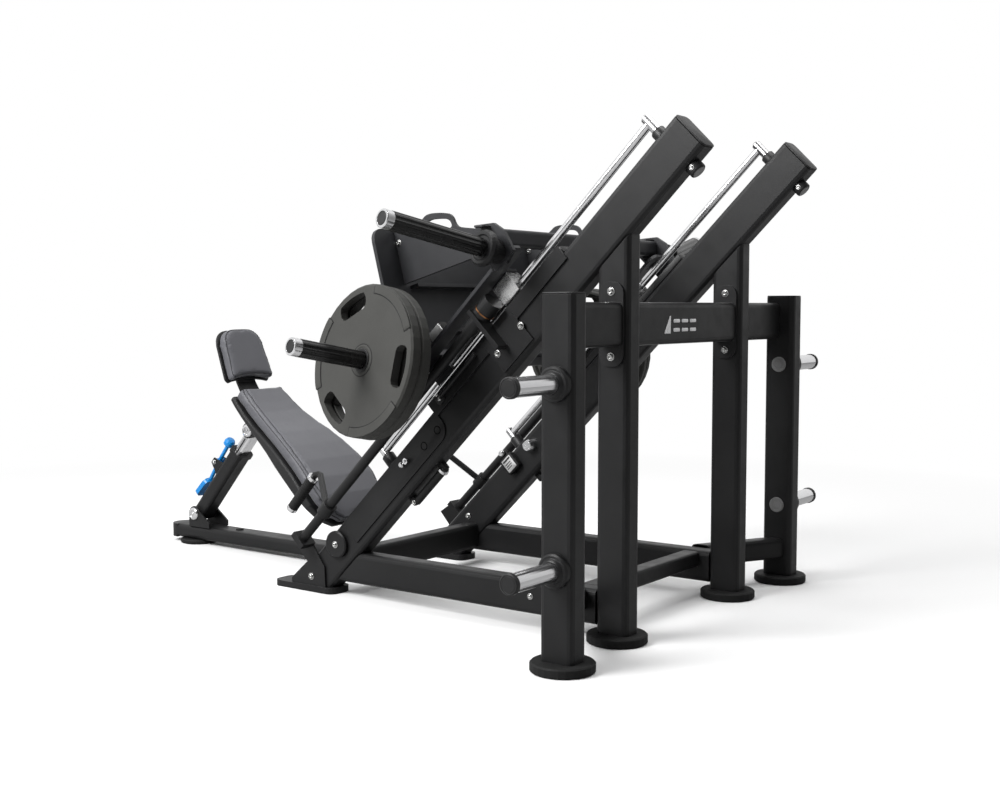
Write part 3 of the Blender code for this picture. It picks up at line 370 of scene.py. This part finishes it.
# ---------------------------------------------------------------- frame: caps, plugs, bolts, small plates
def frame_trim():
    black = Piece("frame_caps", "frame", "black_plastic")
    plates = Piece("frame_doublers", "frame", "black_powder_coat")
    bolts = Piece("frame_bolts", "frame", BOLT)
    plugs = Piece("horn_plugs", "frame", PLUG)
    flanges = Piece("horn_flanges", "frame", "black_powder_coat")
    # near-black cups in the holes carry painted shade, for the shade inside the holes
    dark = Piece("frame_bores_painted_shade", "frame", BORE_PAINTED_SHADE)
    for _, side in SIDES:
        out, inwards = (side, 0, 0), (-side, 0, 0)
        # end caps
        black.prism(rounded(0.069, 0.119, 0.015), 0.006,
                    place(RAIL, (side * RAIL_X, 1.1155, 0.846), (0, 1, 0)), 0.0022)
        black.prism(rounded(0.0695, 0.0995, 0.015), 0.004, place(DATUM, (side * OUTER_X, 0, 0.9653)), 0.0018)
        # stop under the top of the rail
        black.turned([(0, 0.0245), (0.0195, 0.0245), (0.0225, 0.0220), (0.0230, 0.0190), (0.0230, 0), (0, 0)],
                     place(RAIL, (side * RAIL_X, BUMPER_T, 0.7858), (0, 0, -1)))
        plugs.turned([(0, 0.0012), (0.0165, 0.0012), (0.0180, 0), (0, 0)],
                     place(RAIL, (side * RAIL_X, BUMPER_T, 0.7613), (0, 0, -1)))
        bolt(bolts, RAIL, (side * (RAIL_X + 0.0225), BUMPER_T, 0.776), out, 0.007)
        bolt(bolts, RAIL, (side * (RAIL_X - 0.0225), BUMPER_T, 0.776), inwards, 0.007)
        # bolts of the crossbar's flange plates
        for z in FLANGE_BOLT_Z:
            bolt(bolts, DATUM, (side * (BEAM_FACE + 0.0073), INNER_Y, z), out)
            bolt(bolts, DATUM, (side * (INNER_FACE - 0.0073), INNER_Y, z), inwards)
        # lower doubler plate on the rail's outer face
        outline = [(-0.560, 0.899), (-0.560, 0.816), (-0.070, 0.816)] \
            + arc(-0.070, 0.861, 0.045, radians(-90), radians(0), 8) + [(-0.025, 0.899)]
        plates.prism(outline, 0.004, place(RAIL, (side * (BEAM_FACE + 0.0023), 0, 0), (1, 0, 0)), 0.0012)
        # holes of the doubler: near-black cups of painted shade, for the shade inside them
        for t in (-0.059, -0.132):
            dark.turned([(0, -0.0060), (0.0100, -0.0060), (0.0105, 0.0006), (0.0125, 0.0006),
                         (0.0130, -0.0002), (0.0130, -0.0065), (0, -0.0065)],
                        place(RAIL, (side * (BEAM_FACE + 0.0045), t, 0.851), out), 24)
        # round boss and bolts at the lower end of the rail
        plates.turned([(0, 0.010), (0.040, 0.010), (0.044, 0.0065), (0.044, 0), (0, 0)],
                      place(RAIL, (side * (BEAM_FACE + 0.0040), *BOSS_SPOT), out), 40)
        bolt(bolts, RAIL, (side * (BEAM_FACE + 0.0140), *BOSS_SPOT), out)
        bolt(bolts, RAIL, (side * (INNER_FACE - 0.0002), *BOSS_SPOT), inwards)
        bolt(bolts, RAIL, (side * (BEAM_FACE + 0.0074), -0.794, 0.864), out)
        # stop bracket bolts, base bolts
        for t in (0.268, 0.384):
            bolt(bolts, RAIL, (side * (BEAM_FACE + 0.0084), t, 0.856), out)
        bolt(bolts, DATUM, (side * (BEAM_FACE + 0.0002), -0.305, 0.098), out, 0.009)
        bolt(bolts, DATUM, (side * (INNER_FACE - 0.0002), -0.130, 0.101), inwards, 0.009)
        # storage horns: flange at the root, cap at the tip, plug inside the upright
        for z in STORAGE_Z:
            root = place(DATUM, (side * (OUTER_X + 0.0354), 0, z), out)
            flanges.turned([(0.0254, 0.0160), (0.0400, 0.0160), (0.0450, 0.0120), (0.0460, 0.0001),
                            (0.0254, 0.0001)], root, 40)
            flanges.turned([(0.0254, 0.0240), (0.0290, 0.0225), (0.0340, 0.0155), (0.0254, 0.0150)], root, 40)
            tip = place(DATUM, (side * 0.8985, 0, z), out)
            black.turned([(0, 0.0130), (0.0200, 0.0130), (0.0206, 0.0122), (0.0216, 0.0122),
                          (0.0222, 0.0130), (0.0245, 0.0130), (0.0270, 0.0110), (0.0272, 0), (0, 0)], tip, 40)
            plugs.turned([(0, 0.0030), (0.0120, 0.0030), (0.0130, 0.0022), (0.0150, 0.0022), (0.0160, 0.0034),
                          (0.0235, 0.0034), (0.0255, 0.0015), (0.0255, 0), (0, 0)],
                         place(DATUM, (side * (OUTER_X - 0.0351), 0, z), inwards), 40)
    for piece in (black, plates, bolts, plugs, flanges, dark):
        piece.done()


def rail_gear():
    """Return spring, damper, label block, rod ends and guard strip of each rail."""
    chrome = Piece("gear_chrome", "frame", "chrome")
    black = Piece("gear_black", "frame", "black_powder_coat")
    label = Piece("gear_labels", "frame", LABEL)
    dark = Piece("rod_bosses", "frame", "black_plastic")
    bolts = Piece("gear_bolts", "frame", BOLT)
    for _, side in SIDES:
        out, inwards = (side, 0, 0), (-side, 0, 0)
        # return spring beside the safety shaft
        x = side * SPRING_X
        spring_n, tube_n = 0.926, 0.908
        chrome.bar([(x, t, spring_n) for t in (0.012, 0.100, 0.200, 0.284)], 0.0042, RAIL)
        black.bar([(x, t, tube_n) for t in (0.030, 0.120, 0.214)], 0.0065, RAIL)
        black.prism(rounded(0.034, 0.040, 0.008), 0.008,
                    place(RAIL, (side * 0.386, 0.020, 0.914), out), 0.0012)
        for n in (spring_n, tube_n):
            bolt(bolts, RAIL, (side * 0.3902, 0.018, n), out, 0.006)
        # stud below the doubler's holes
        knob_nut(chrome, RAIL, (side * (BEAM_FACE + 0.0046), -0.215, 0.863), out, 0.0105, 0.012)
        # damper under the rail
        black.bar([(side * RAIL_X, t, DAMPER_N) for t in (-0.305, -0.220, -0.140)], 0.013, RAIL, 20)
        chrome.turned([(0.0132, 0.012), (0.0170, 0.010), (0.0170, 0.002), (0.0132, 0)],
                      place(RAIL, (side * RAIL_X, -0.160, DAMPER_N), (0, 1, 0)))
        for t in (-0.305, -0.145):
            black.prism(rounded(0.022, 0.030, 0.006), 0.020,
                        place(RAIL, (side * RAIL_X, t, DAMPER_N + 0.008), (0, 1, 0)), 0.0015)
        bolt(bolts, RAIL, (side * (RAIL_X + 0.0130), -0.305, DAMPER_N), out, 0.007)
        # block with a plain label on the inner face, and its pin
        block = place(RAIL, (side * (INNER_FACE - 0.0125), BLOCK_T, 0.872), inwards)
        black.prism(rounded(0.060, 0.062, 0.008), 0.024, block, 0.0018)
        label.prism(rounded(0.044, 0.050, 0.003), 0.0010, block @ Matrix.Translation((0, 0, 0.0125)), 0.0004)
        for u, v, w, h in ((0, 0.0165, 0.036, 0.006), (-0.003, 0.004, 0.030, 0.003),
                           (-0.003, -0.004, 0.030, 0.003), (-0.006, -0.012, 0.024, 0.003)):
            black.prism(rounded(w, h, 0.0014), 0.0008, block @ Matrix.Translation((u, v, 0.0131)), 0.0002)
        chrome.turned([(0, 0.020), (0.008, 0.019), (0.011, 0.015), (0.011, 0.006), (0.006, 0.003), (0.006, 0),
                       (0, 0)], place(RAIL, (side * (INNER_FACE - 0.0115), BLOCK_T, 0.920), inwards))
        black.prism(rounded(0.030, 0.024, 0.006), 0.012,
                    place(RAIL, (side * (INNER_FACE - 0.0065), BLOCK_T, 0.914), inwards), 0.0015)
        # bosses and domed ends of the rods' pins
        for t, high in ((ROD_TOP_T, 0.0235), (ROD_LOW_T, 0.0400)):
            dark.turned([(0.0172, 0), (0.0205, 0), (0.0205, high - 0.002), (0.0190, high), (0.0142, high)],
                        place(RAIL, (side * RAIL_X, t, 0.9065), (0, 0, 1)), 36)
            chrome.turned([(0, 0.0034), (0.0050, 0.0030), (0.0085, 0.0018), (0.0100, 0), (0, 0)],
                          place(RAIL, (side * RAIL_X, t, 0.9861), (0, 0, 1)), 32)
        # guard strip under the rod
        black.prism(rounded(0.048, 0.0235, 0.004), 0.656,
                    place(RAIL, (side * RAIL_X, STRIP_T, 0.9183), (0, 1, 0)), 0.0020)
        black.prism(rounded(0.004, 0.0240, 0.001), 0.650,
                    place(RAIL, (side * (RAIL_X - 0.0140), STRIP_T, 0.9190), (0, 1, 0)), 0.0008)
    for piece in (chrome, black, label, dark, bolts):
        piece.done()


def crossbar_mark():
    """Generic mark on the back of the centre crossbar: a slanted tab and six plain bars."""
    mark = Piece("crossbar_mark", "frame", MARK)
    face = place(DATUM, (0.024, 0.0356 + INNER_Y, 0.878), (0, 1, 0))
    tab = [(-0.128, -0.024), (-0.128, -0.020), (-0.096, 0.026), (-0.092, 0.026), (-0.092, -0.024)]
    mark.prism(tab, 0.0010, face, 0.0003)
    for u in (-0.056, -0.006, 0.044):
        for v in (0.012, -0.014):
            mark.prism(rounded(0.038, 0.010, 0.004, cx=u, cy=v), 0.0010, face, 0.0003)
    mark.done()


frame_trim()
rail_gear()
crossbar_mark()


# ---------------------------------------------------------------- safety gear
def safety_trim():
    for name, side in SIDES:
        body = "safety_stop_" + name
        grip = Piece("grip_sleeve_" + name, body, "black_rubber")
        metal = Piece("grip_caps_" + name, body, "chrome")
        bush = Piece("stop_bush_" + name, body, BRONZE)
        a = Vector((side * 0.342, -0.578, 1.111))
        b = Vector((side * 0.348, -0.730, 1.0985))
        run = (b - a).normalized()
        start, stop = a + run * 0.016, a + run * 0.154
        barrel = place(RAIL, start, run)
        length = (stop - start).length
        profile = [(0.0167, 0.0)]
        ribs = 15
        for i in range(ribs):
            z = length * (i + 0.12) / ribs
            profile += [(0.0172, z), (0.0180, z + length * 0.12 / ribs), (0.0180, z + length * 0.62 / ribs),
                        (0.0172, z + length * 0.74 / ribs)]
        profile.append((0.0167, length))
        grip.turned(list(reversed(profile)), barrel, 28)
        low_cap = place(RAIL, stop, run)
        metal.turned([(0, 0.0130), (0.0100, 0.0130), (0.0165, 0.0100), (0.0185, 0.0060), (0.0185, -0.004),
                      (0, -0.004)], low_cap, 32)
        metal.turned([(0, 0.004), (0.0183, 0.004), (0.0187, 0.002), (0.0187, -0.008), (0, -0.010)],
                     barrel, 32)
        bush.turned([(0.0290, 0.0022), (0.0312, 0.0018), (0.0312, -0.0018), (0.0290, -0.0022)],
                    place(RAIL, (side * SHAFT_X, 0.334, SHAFT_N), (0, 1, 0)), 40)
        for piece in (grip, metal, bush):
            piece.done()


safety_trim()


# ---------------------------------------------------------------- carriage
def horn_at(side, t, from_tip):
    """Matrix on a loading horn's axis, local z towards its tip."""
    x, n = HORN_TIP
    spot = (side * (x - cos(HORN_TILT) * from_tip), t, n - sin(HORN_TILT) * from_tip)
    return RAIL @ Matrix.Translation(spot) @ Matrix.Rotation(side * (radians(90) - HORN_TILT), 4, "Y")


def fluted(count, r, depth):
    """Round outline with shallow lengthwise flutes."""
    points = []
    for i in range(count):
        for share, size in ((0.0, r), (0.28, r), (0.40, r - depth), (0.86, r - depth)):
            a = 2 * pi * (i + share) / count
            points.append((size * cos(a), size * sin(a)))
    return points


def carriage_trim():
    sleeves = Piece("horn_sleeves", "carriage", SLEEVE)
    tips = Piece("horn_tips", "carriage", "chrome")
    caps = Piece("horn_tip_caps", "carriage", "black_plastic")
    plates = Piece("carriage_tabs", "carriage", "graphite_powder_coat")
    black = Piece("carriage_blocks", "carriage", "black_rubber")
    bolts = Piece("carriage_bolts", "carriage", BOLT)
    label = Piece("carriage_label", "carriage", LABEL)
    for _, side in SIDES:
        out, inwards = (side, 0, 0), (-side, 0, 0)
        for t, hub in ((HORN_T[1], HORN_LEN), (HORN_T[0], PLATE_SPOT + 2 * PLATE_THICK + 0.001)):
            bare = HORN_LEN - 0.004 if hub == HORN_LEN else PLATE_SPOT + 0.010
            sleeves.prism(fluted(10, 0.0266, 0.0017), bare - 0.024, horn_at(side, t, (bare + 0.024) / 2), 0.0)
            tips.turned([(0.0195, 0.0012), (0.0240, 0.0012), (0.0258, -0.0010), (0.0258, -0.0240),
                         (0.0200, -0.0240)], horn_at(side, t, 0), 40)
            caps.turned([(0, 0.0006), (0.0150, 0.0006), (0.0158, -0.0002), (0.0172, -0.0002),
                         (0.0196, 0.0006), (0.0196, -0.0100), (0, -0.0100)], horn_at(side, t, 0), 40)
        # tab on the upper cross tube, bolts of the gusset, block and strip above the side plate
        plates.prism(rounded(0.089, 0.036, 0.008), 0.006,
                     place(DATUM, (side * 0.4585, -0.398, 1.1545)), 0.0015)
        bolt(bolts, DATUM, (side * 0.3552, -0.815, 1.126), out, 0.010)
        bolt(bolts, DATUM, (side * 0.3448, -0.815, 1.126), inwards, 0.010)
        black.prism(rounded(0.038, 0.058, 0.005), 0.040, place(RAIL, (side * 0.397, 0.166, 1.0385)), 0.003)
        label.prism(rounded(0.005, 0.052, 0.002), 0.030, place(RAIL, (side * 0.4185, 0.166, 1.040)), 0.0008)
        for t in (0.384, 0.444):
            for x in (0.331, 0.357):
                bolt(bolts, RAIL, (side * x, t, 1.0184), (0, 0, 1), 0.006)
        for t in (0.036, 0.094):
            for x in (0.327, 0.350):
                bolt(bolts, RAIL, (side * x, t, 1.0184), (0, 0, 1), 0.006)
        for t in (0.395, 0.432):
            bolt(bolts, RAIL, (side * (RAIL_X + 0.0321), t, 0.985), out, 0.0045)
    for piece in (sleeves, tips, caps, plates, black, bolts, label):
        piece.done()


def rim_band(inner, outer, reach):
    """Band between two radii, from -reach to reach about the local X axis."""
    return arc(0, 0, outer, -reach, reach, 18) + arc(0, 0, inner, reach, -reach, 16)


def plate_trim():
    """Rim segments, rings and hub insert on both faces that show of each weight plate."""
    for name, side in SIDES:
        for label, back in (("outer", 0.0), ("inner", PLATE_THICK + 0.0003)):
            body = label + "_plate_" + name
            rim = Piece("plate_rim_%s_%s" % (label, name), body, "plate_urethane")
            hub = Piece("plate_hub_%s_%s" % (label, name), body, "black_powder_coat")
            line = Piece("plate_lines_%s_%s" % (label, name), body, "black_rubber")
            face = horn_at(side, HORN_T[0], PLATE_SPOT + back)
            lift = 0.0012 if label == "outer" else 0.0002
            hub.turned([(0.0262, -0.0060), (0.0262, lift + 0.0010), (0.0275, lift + 0.0022),
                        (0.0335, lift + 0.0022), (0.0345, lift + 0.0010), (0.0345, -0.0060)], face, 56)
            if label == "outer":
                reach = radians(29.5)
                for i in range(3):
                    angle = SLOT_TURN + radians(60 + 120 * i)
                    turn = face @ Matrix.Rotation(angle if side > 0 else pi - angle, 4, "Z")
                    rim.prism(rim_band(0.1975, 0.2235, reach), 0.0036, turn, 0.0012)
                    line.prism(rim_band(0.1945, 0.1985, reach + 0.012), 0.0010, turn, 0.0003)
                    for end in (-reach, reach):
                        line.prism(rounded(0.0240, 0.0030, 0.0012, cx=0.2085), 0.0010,
                                   turn @ Matrix.Rotation(end * 1.015, 4, "Z"), 0.0003)
                rim.turned([(0.0385, -0.0010), (0.0390, 0.0010), (0.0430, 0.0016), (0.0455, 0.0004),
                            (0.0460, -0.0010)], face, 72)
                line.turned([(0.0460, -0.0005), (0.0462, 0.0005), (0.0488, 0.0005), (0.0490, -0.0005)],
                            face, 72)
            for piece in (rim, hub, line):
                if len(piece.work.verts):
                    piece.done()


carriage_trim()
plate_trim()


# ---------------------------------------------------------------- strut, seat rail
def strut_trim():
    lift = Vector((0, STRUT_TOP[0] - STRUT_LOW[0], STRUT_TOP[1] - STRUT_LOW[1]))
    length = lift.length
    along = Matrix.Translation((0, *STRUT_LOW)) @ lift.to_track_quat("Z", "Y").to_matrix().to_4x4()
    strut = DATUM @ along
    caps = Piece("strut_pin_caps", "frame", "chrome")
    upper = Piece("strut_top_caps", "seat", "chrome")
    cap = [(0, 0.0095), (0.0060, 0.0095), (0.0072, 0.0082), (0.0130, 0.0078), (0.0142, 0.0090),
           (0.0190, 0.0085), (0.0235, 0.0060), (0.0250, 0.0025), (0.0250, 0), (0, 0)]
    for side in (1, -1):
        caps.turned(cap, place(DATUM, (side * 0.0503, *STRUT_LOW), (side, 0, 0)), 40)
        upper.turned(cap, place(DATUM, (side * 0.0403, *STRUT_TOP), (side, 0, 0)), 40)
    groove = Piece("strut_scale", "strut_inner", "black_plastic")
    for x in (0.0262, -0.0262):
        groove.prism(rounded(0.180, 0.006, 0.0028), 0.0008, strut @ Matrix.Translation((x, 0, length - 0.135))
                     @ Matrix.Rotation(radians(90), 4, "Y"), 0.0002)
    pins = Piece("lever_pin", "strut_outer", BOLT)
    for side in (1, -1):
        bolt(pins, DATUM, (side * 0.0252, -2.047, 0.328), (side, 0, 0), 0.009)
    plug = Piece("seat_rail_plug", "frame", "black_plastic")
    plug.turned([(0, 0.0060), (0.0100, 0.0060), (0.0145, 0.0035), (0.0150, 0), (0, 0)],
                place(DATUM, (0, -1.935, 0.0702)), 32)
    plug.prism(rounded(0.0440, 0.0500, 0.010), 0.003, place(DATUM, (0, -1.0735, 0.0435), (0, 1, 0)), 0.001)
    for piece in (caps, upper, groove, pins, plug):
        piece.done()


strut_trim()


# ---------------------------------------------------------------- upholstery
def seat_spot(y, z):
    """Nearest place on the seat line: half-width, distance behind the face, unit vector to the back."""
    best = None
    for (w0, y0, z0), (w1, y1, z1) in zip(SEAT_LINE, SEAT_LINE[1:]):
        run = Vector((y1 - y0, z1 - z0))
        length = run.length
        run.normalize()
        back = Vector((run.y, -run.x))
        offset = Vector((y - y0, z - z0))
        share = min(max(offset.dot(run) / length, 0.0), 1.0)
        gap = (offset - run * share * length).length
        if best is None or gap < best[0]:
            best = (gap, w0 + (w1 - w0) * share, offset.dot(back), back)
    return best[1:]


def swell(obj, cap, back_of):
    """Inflate a closed form with cloth under pressure, limited to cap, and never out of its back."""
    scene = bpy.context.scene
    rest = [v.co.copy() for v in obj.data.vertices]
    cloth = obj.modifiers.new("swell", "CLOTH")
    cloth.settings.quality = 5
    cloth.settings.use_pressure = True
    cloth.settings.uniform_pressure_force = 4.0
    cloth.settings.effector_weights.gravity = 0.0
    for number in range(1, 21):
        scene.frame_set(number)
    graph = bpy.context.evaluated_depsgraph_get()
    moved = [v.co.copy() for v in obj.evaluated_get(graph).data.vertices]
    obj.modifiers.remove(cloth)
    scene.frame_set(1)
    for vert, was, now in zip(obj.data.vertices, rest, moved):
        step = now - was
        if step.length > cap:
            step *= cap / step.length
        back = back_of(was)
        step -= back * max(0.0, step.dot(back))
        vert.co = was + step


def remeshed(obj, modifier_type, **settings):
    """Apply one modifier to the object's mesh."""
    mod = obj.modifiers.new("step", modifier_type)
    for key, value in settings.items():
        setattr(mod, key, value)
    graph = bpy.context.evaluated_depsgraph_get()
    mesh = bpy.data.meshes.new_from_object(obj.evaluated_get(graph))
    obj.modifiers.remove(mod)
    obj.data = mesh


def cushion(name, mesh, shrink, cap, back_of, seam_depth):
    """Stuffed form: shrunk, remeshed, inflated, smoothed, then creased along its seams."""
    obj = bpy.data.objects.new(name, mesh)
    bpy.context.scene.collection.objects.link(obj)
    for vert in obj.data.vertices:
        back = back_of(vert.co)
        inward = vert.normal - back * max(0.0, vert.normal.dot(back))
        vert.co -= inward * shrink
    remeshed(obj, "REMESH", mode="VOXEL", voxel_size=0.0050, use_smooth_shade=True)
    swell(obj, cap, back_of)
    remeshed(obj, "SMOOTH", factor=0.5, iterations=2)
    remeshed(obj, "SUBSURF", levels=1, render_levels=1)
    for vert in obj.data.vertices:
        vert.co += seam_depth(vert.co)
    obj.data.materials.clear()
    obj.data.materials.append(LOOKS["grey_vinyl"])
    obj.data.shade_smooth()
    return obj


def seat_back(co):
    """Unit vector from the seat's face to its back, near co."""
    back = seat_spot(co.y - DATUM_Y, co.z)[2]
    return Vector((0, back.x, back.y))


SEAT_SEAMS = (0.015, 0.026)
CREASE_REACH = 0.007      # how far to each side of a seam the surface dips
CORD_R = 0.0017


def seat_crease(co):
    """Groove along each seam on the pad's face."""
    half, behind, back = seat_spot(co.y - DATUM_Y, co.z)
    if behind > 0.020:
        return Vector()
    gap = min(abs(half - abs(co.x) - inset) for inset in SEAT_SEAMS)
    depth = 0.0032 * max(0.0, 1 - gap / CREASE_REACH) ** 2
    return Vector((0, back.x, back.y)) * depth


def seam_line(piece, obj, points, towards, radius):
    """Cord laid in the surface under each point, found along its own direction."""
    graph = bpy.context.evaluated_depsgraph_get()
    tree = BVHTree.FromObject(obj, graph)
    line = []
    for point, direction in zip(points, towards):
        hit = tree.ray_cast(point - direction * 0.06, direction, 0.15)
        if hit[0] is not None:
            line.append(hit[0] - direction * 0.0004)
    if len(line) > 2:
        piece.bar(line, radius, Matrix.Identity(4), 8)


def seat_pad():
    solid = frame["nodes"]["seat_pad"].data.copy()
    pad = cushion("seat_cushion", solid, 0.0035, 0.008, seat_back, seat_crease)
    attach(pad, "seat")
    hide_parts("seat_pad")
    # cords along the seams, coloured dark as painted shade of the seam's groove
    seams = Piece("seat_seams_painted_shade", "seat", SEAM_PAINTED_SHADE)
    steps = 64
    for side in (1, -1):
        for inset in SEAT_SEAMS:
            points, towards = [], []
            for i in range(steps + 1):
                place_on = (len(SEAT_LINE) - 1) * (0.012 + 0.976 * i / steps)
                k = min(int(place_on), len(SEAT_LINE) - 2)
                (w0, y0, z0), (w1, y1, z1) = SEAT_LINE[k], SEAT_LINE[k + 1]
                share = place_on - k
                y, z = y0 + (y1 - y0) * share, z0 + (z1 - z0) * share
                back = seat_spot(y, z)[2]
                points.append(DATUM @ Vector((side * (w0 + (w1 - w0) * share - inset), y, z)))
                towards.append(Vector((0, back.x, back.y)))
            seam_line(seams, pad, points, towards, CORD_R)
    seams.done()


REST = DATUM @ Matrix.Translation((0, *REST_MID)) @ Matrix.Rotation(radians(90) + REST_LEAN, 4, "X")
REST_PAD = 0.0405         # cushion's share of the headrest's thickness
REST_SEAM = 0.010
SHORT_EDGE = 0.020        # an edge of the outline shorter than this counts as its middle


def rest_outline(inset):
    """Headrest outline: a broad arch above, a wider and slightly hollowed foot below."""
    top, foot, high = REST_TOP_W - inset, REST_FOOT_W - inset, REST_HALF_H - inset
    big, small = 0.060 - 0.7 * inset, 0.018 - 0.5 * inset
    arch = arc(top - big, high - big, big, 0, pi / 2, 8)
    corner = arc(small - foot, small - high, small, pi, 1.4 * pi, 4)
    reach = -corner[-1][0]
    under = [(x, 0.013 * (1 - (x / foot) ** 2) - high) for x in (i * reach / 4 for i in range(-3, 4))]
    return (arch + [(-x, y) for x, y in reversed(arch)] + corner + under
            + [(-x, y) for x, y in reversed(corner)])


def rest_crease(co):
    """Groove along the seam on the headrest's face."""
    local = REST.inverted() @ co
    if local.z > 0.018:
        return Vector()
    loop = rest_outline(REST_SEAM)
    gap = min(edge_gap(local, a, b) for a, b in zip(loop, loop[1:] + loop[:1]))
    return REST.to_3x3() @ Vector((0, 0, 0.0030 * max(0.0, 1 - gap / CREASE_REACH) ** 2))


def edge_gap(p, a, b):
    """Distance in the plane from p to the edge a to b, or to the middle of a short one."""
    if hypot(a[0] - b[0], a[1] - b[1]) < SHORT_EDGE:
        return hypot(p.x - (a[0] + b[0]) / 2, p.y - (a[1] + b[1]) / 2)
    run = Vector(b) - Vector(a)
    offset = Vector((p.x, p.y)) - Vector(a)
    share = min(max(offset.dot(run) / run.length_squared, 0.0), 1.0)
    return (offset - run * share).length


def headrest():
    back = REST.to_3x3() @ Vector((0, 0, 1))
    shape = Piece("headrest_shape", None, "grey_vinyl")
    shape.prism(rest_outline(0), REST_PAD, REST @ Matrix.Translation((0, 0, REST_PAD / 2)), 0.012, 4)
    form = shape.done()
    mesh = form.data.copy()
    bpy.data.objects.remove(form)
    pad = cushion("headrest_cushion", mesh, 0.0030, 0.0035, lambda co: back, rest_crease)
    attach(pad, "seat")
    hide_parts("headrest_pad")
    board = Piece("headrest_board", "seat", "black_plastic")
    board.prism(rest_outline(-0.0015), 0.0085, REST @ Matrix.Translation((0, 0, 0.0455)), 0.0025, 3)
    board.done()
    # cord along the seam, coloured dark as painted shade of the seam's groove
    seams = Piece("headrest_seams_painted_shade", "seat", SEAM_PAINTED_SHADE)
    loop = rest_outline(REST_SEAM)
    dense = []
    for a, b in zip(loop, loop[1:] + loop[:1]):
        count = max(1, round(hypot(a[0] - b[0], a[1] - b[1]) / 0.006))
        dense += [(a[0] + (b[0] - a[0]) * i / count, a[1] + (b[1] - a[1]) * i / count) for i in range(count)]
    dense.append(dense[0])
    seam_line(seams, pad, [REST @ Vector((x, y, 0)) for x, y in dense], [back] * len(dense), CORD_R)
    seams.done()


seat_pad()
headrest()

# ---------------------------------------------------------------- stage, light and camera
FLOOR_HALF, FADE_NEAR, FADE_FAR = 40, 1.6, 4.0
FLOOR_SEEN, FLOOR_BOUNCE = 0.95, 0.42
DIM_TOWARDS, ROOM_BRIGHT, ROOM_DIM = (0.45, 0.86, 0.24), 0.85, 0.10


def studio_floor():
    """Pale floor that fades to white with distance, and sends back less light than it shows."""
    half = FLOOR_HALF
    mesh = bpy.data.meshes.new("floor")
    mesh.from_pydata([(-half, -half, 0), (half, -half, 0), (half, half, 0), (-half, half, 0)], [],
                     [(0, 1, 2, 3)])
    floor = bpy.data.objects.new("floor", mesh)
    bpy.context.scene.collection.objects.link(floor)
    floor.location.z = -0.0005
    pale = bpy.data.materials.new("floor_pale")
    pale.use_nodes = True
    tree = pale.node_tree
    matte = tree.nodes["Principled BSDF"]
    matte.inputs["Roughness"].default_value = 0.9
    matte.inputs["Specular IOR Level"].default_value = 0.1
    distance = tree.nodes.new("ShaderNodeVectorMath")
    distance.operation = "LENGTH"
    link(tree, tree.nodes.new("ShaderNodeTexCoord"), "Object", distance, 0)
    faded = ramp(tree, distance, "Value", FADE_NEAR, FADE_FAR, 0.0, 1.0)
    direct = tree.nodes.new("ShaderNodeLightPath")
    only_seen = tree.nodes.new("ShaderNodeMath")
    only_seen.operation = "MULTIPLY"
    link(tree, faded, 0, only_seen, 0)
    link(tree, direct, "Is Camera Ray", only_seen, 1)
    glow = tree.nodes.new("ShaderNodeEmission")
    both = tree.nodes.new("ShaderNodeMixShader")
    albedo = ramp(tree, direct, "Is Camera Ray", 0.0, 1.0, FLOOR_BOUNCE, FLOOR_SEEN)
    link(tree, albedo, 0, matte, "Base Color")
    link(tree, only_seen, 0, both, 0)
    link(tree, matte, 0, both, 1)
    link(tree, glow, 0, both, 2)
    link(tree, both, 0, tree.nodes["Material Output"], "Surface")
    mesh.materials.append(pale)


def studio_room():
    """Soft light from all round that dims towards one fixed side, and is white where seen directly."""
    world = bpy.data.worlds.new("studio")
    bpy.context.scene.world = world
    world.use_nodes = True
    tree = world.node_tree
    background = tree.nodes["Background"]
    share = tree.nodes.new("ShaderNodeVectorMath")
    share.operation = "DOT_PRODUCT"
    share.inputs[1].default_value = DIM_TOWARDS
    link(tree, tree.nodes.new("ShaderNodeTexCoord"), "Generated", share, 0)
    dimmed = ramp(tree, share, "Value", -0.10, 0.75, ROOM_BRIGHT, ROOM_DIM)
    strength = tree.nodes.new("ShaderNodeMath")
    strength.operation = "MAXIMUM"
    link(tree, dimmed, 0, strength, 0)
    link(tree, tree.nodes.new("ShaderNodeLightPath"), "Is Camera Ray", strength, 1)
    background.inputs["Color"].default_value = (1, 1, 1, 1)
    link(tree, strength, 0, background, "Strength")


def softbox(name, spot, target, size, power):
    """Round area light at spot that faces target."""
    data = bpy.data.lights.new(name, "AREA")
    data.shape, data.size, data.energy = "DISK", size, power
    lamp = bpy.data.objects.new(name, data)
    bpy.context.scene.collection.objects.link(lamp)
    lamp.location = spot
    lamp.rotation_euler = (Vector(target) - Vector(spot)).to_track_quat("-Z", "Y").to_euler()


studio_floor()
studio_room()
softbox("key", (3.4, -0.9, 3.3), (0, 0, 0.5), 2.4, 250)
softbox("top", (-0.6, 1.2, 5.0), (0, 0, 0.4), 3.0, 115)

camera_data = bpy.data.cameras.new("camera")
camera_data.lens, camera_data.sensor_width = 46.18, 36.0
camera = bpy.data.objects.new("camera", camera_data)
bpy.context.scene.collection.objects.link(camera)
camera.location = (3.37495, 2.80924, 0.93181)
camera.rotation_euler = (radians(85.932), 0, radians(126.132))
bpy.context.scene.camera = camera
bpy.context.scene.view_settings.view_transform = "Standard"
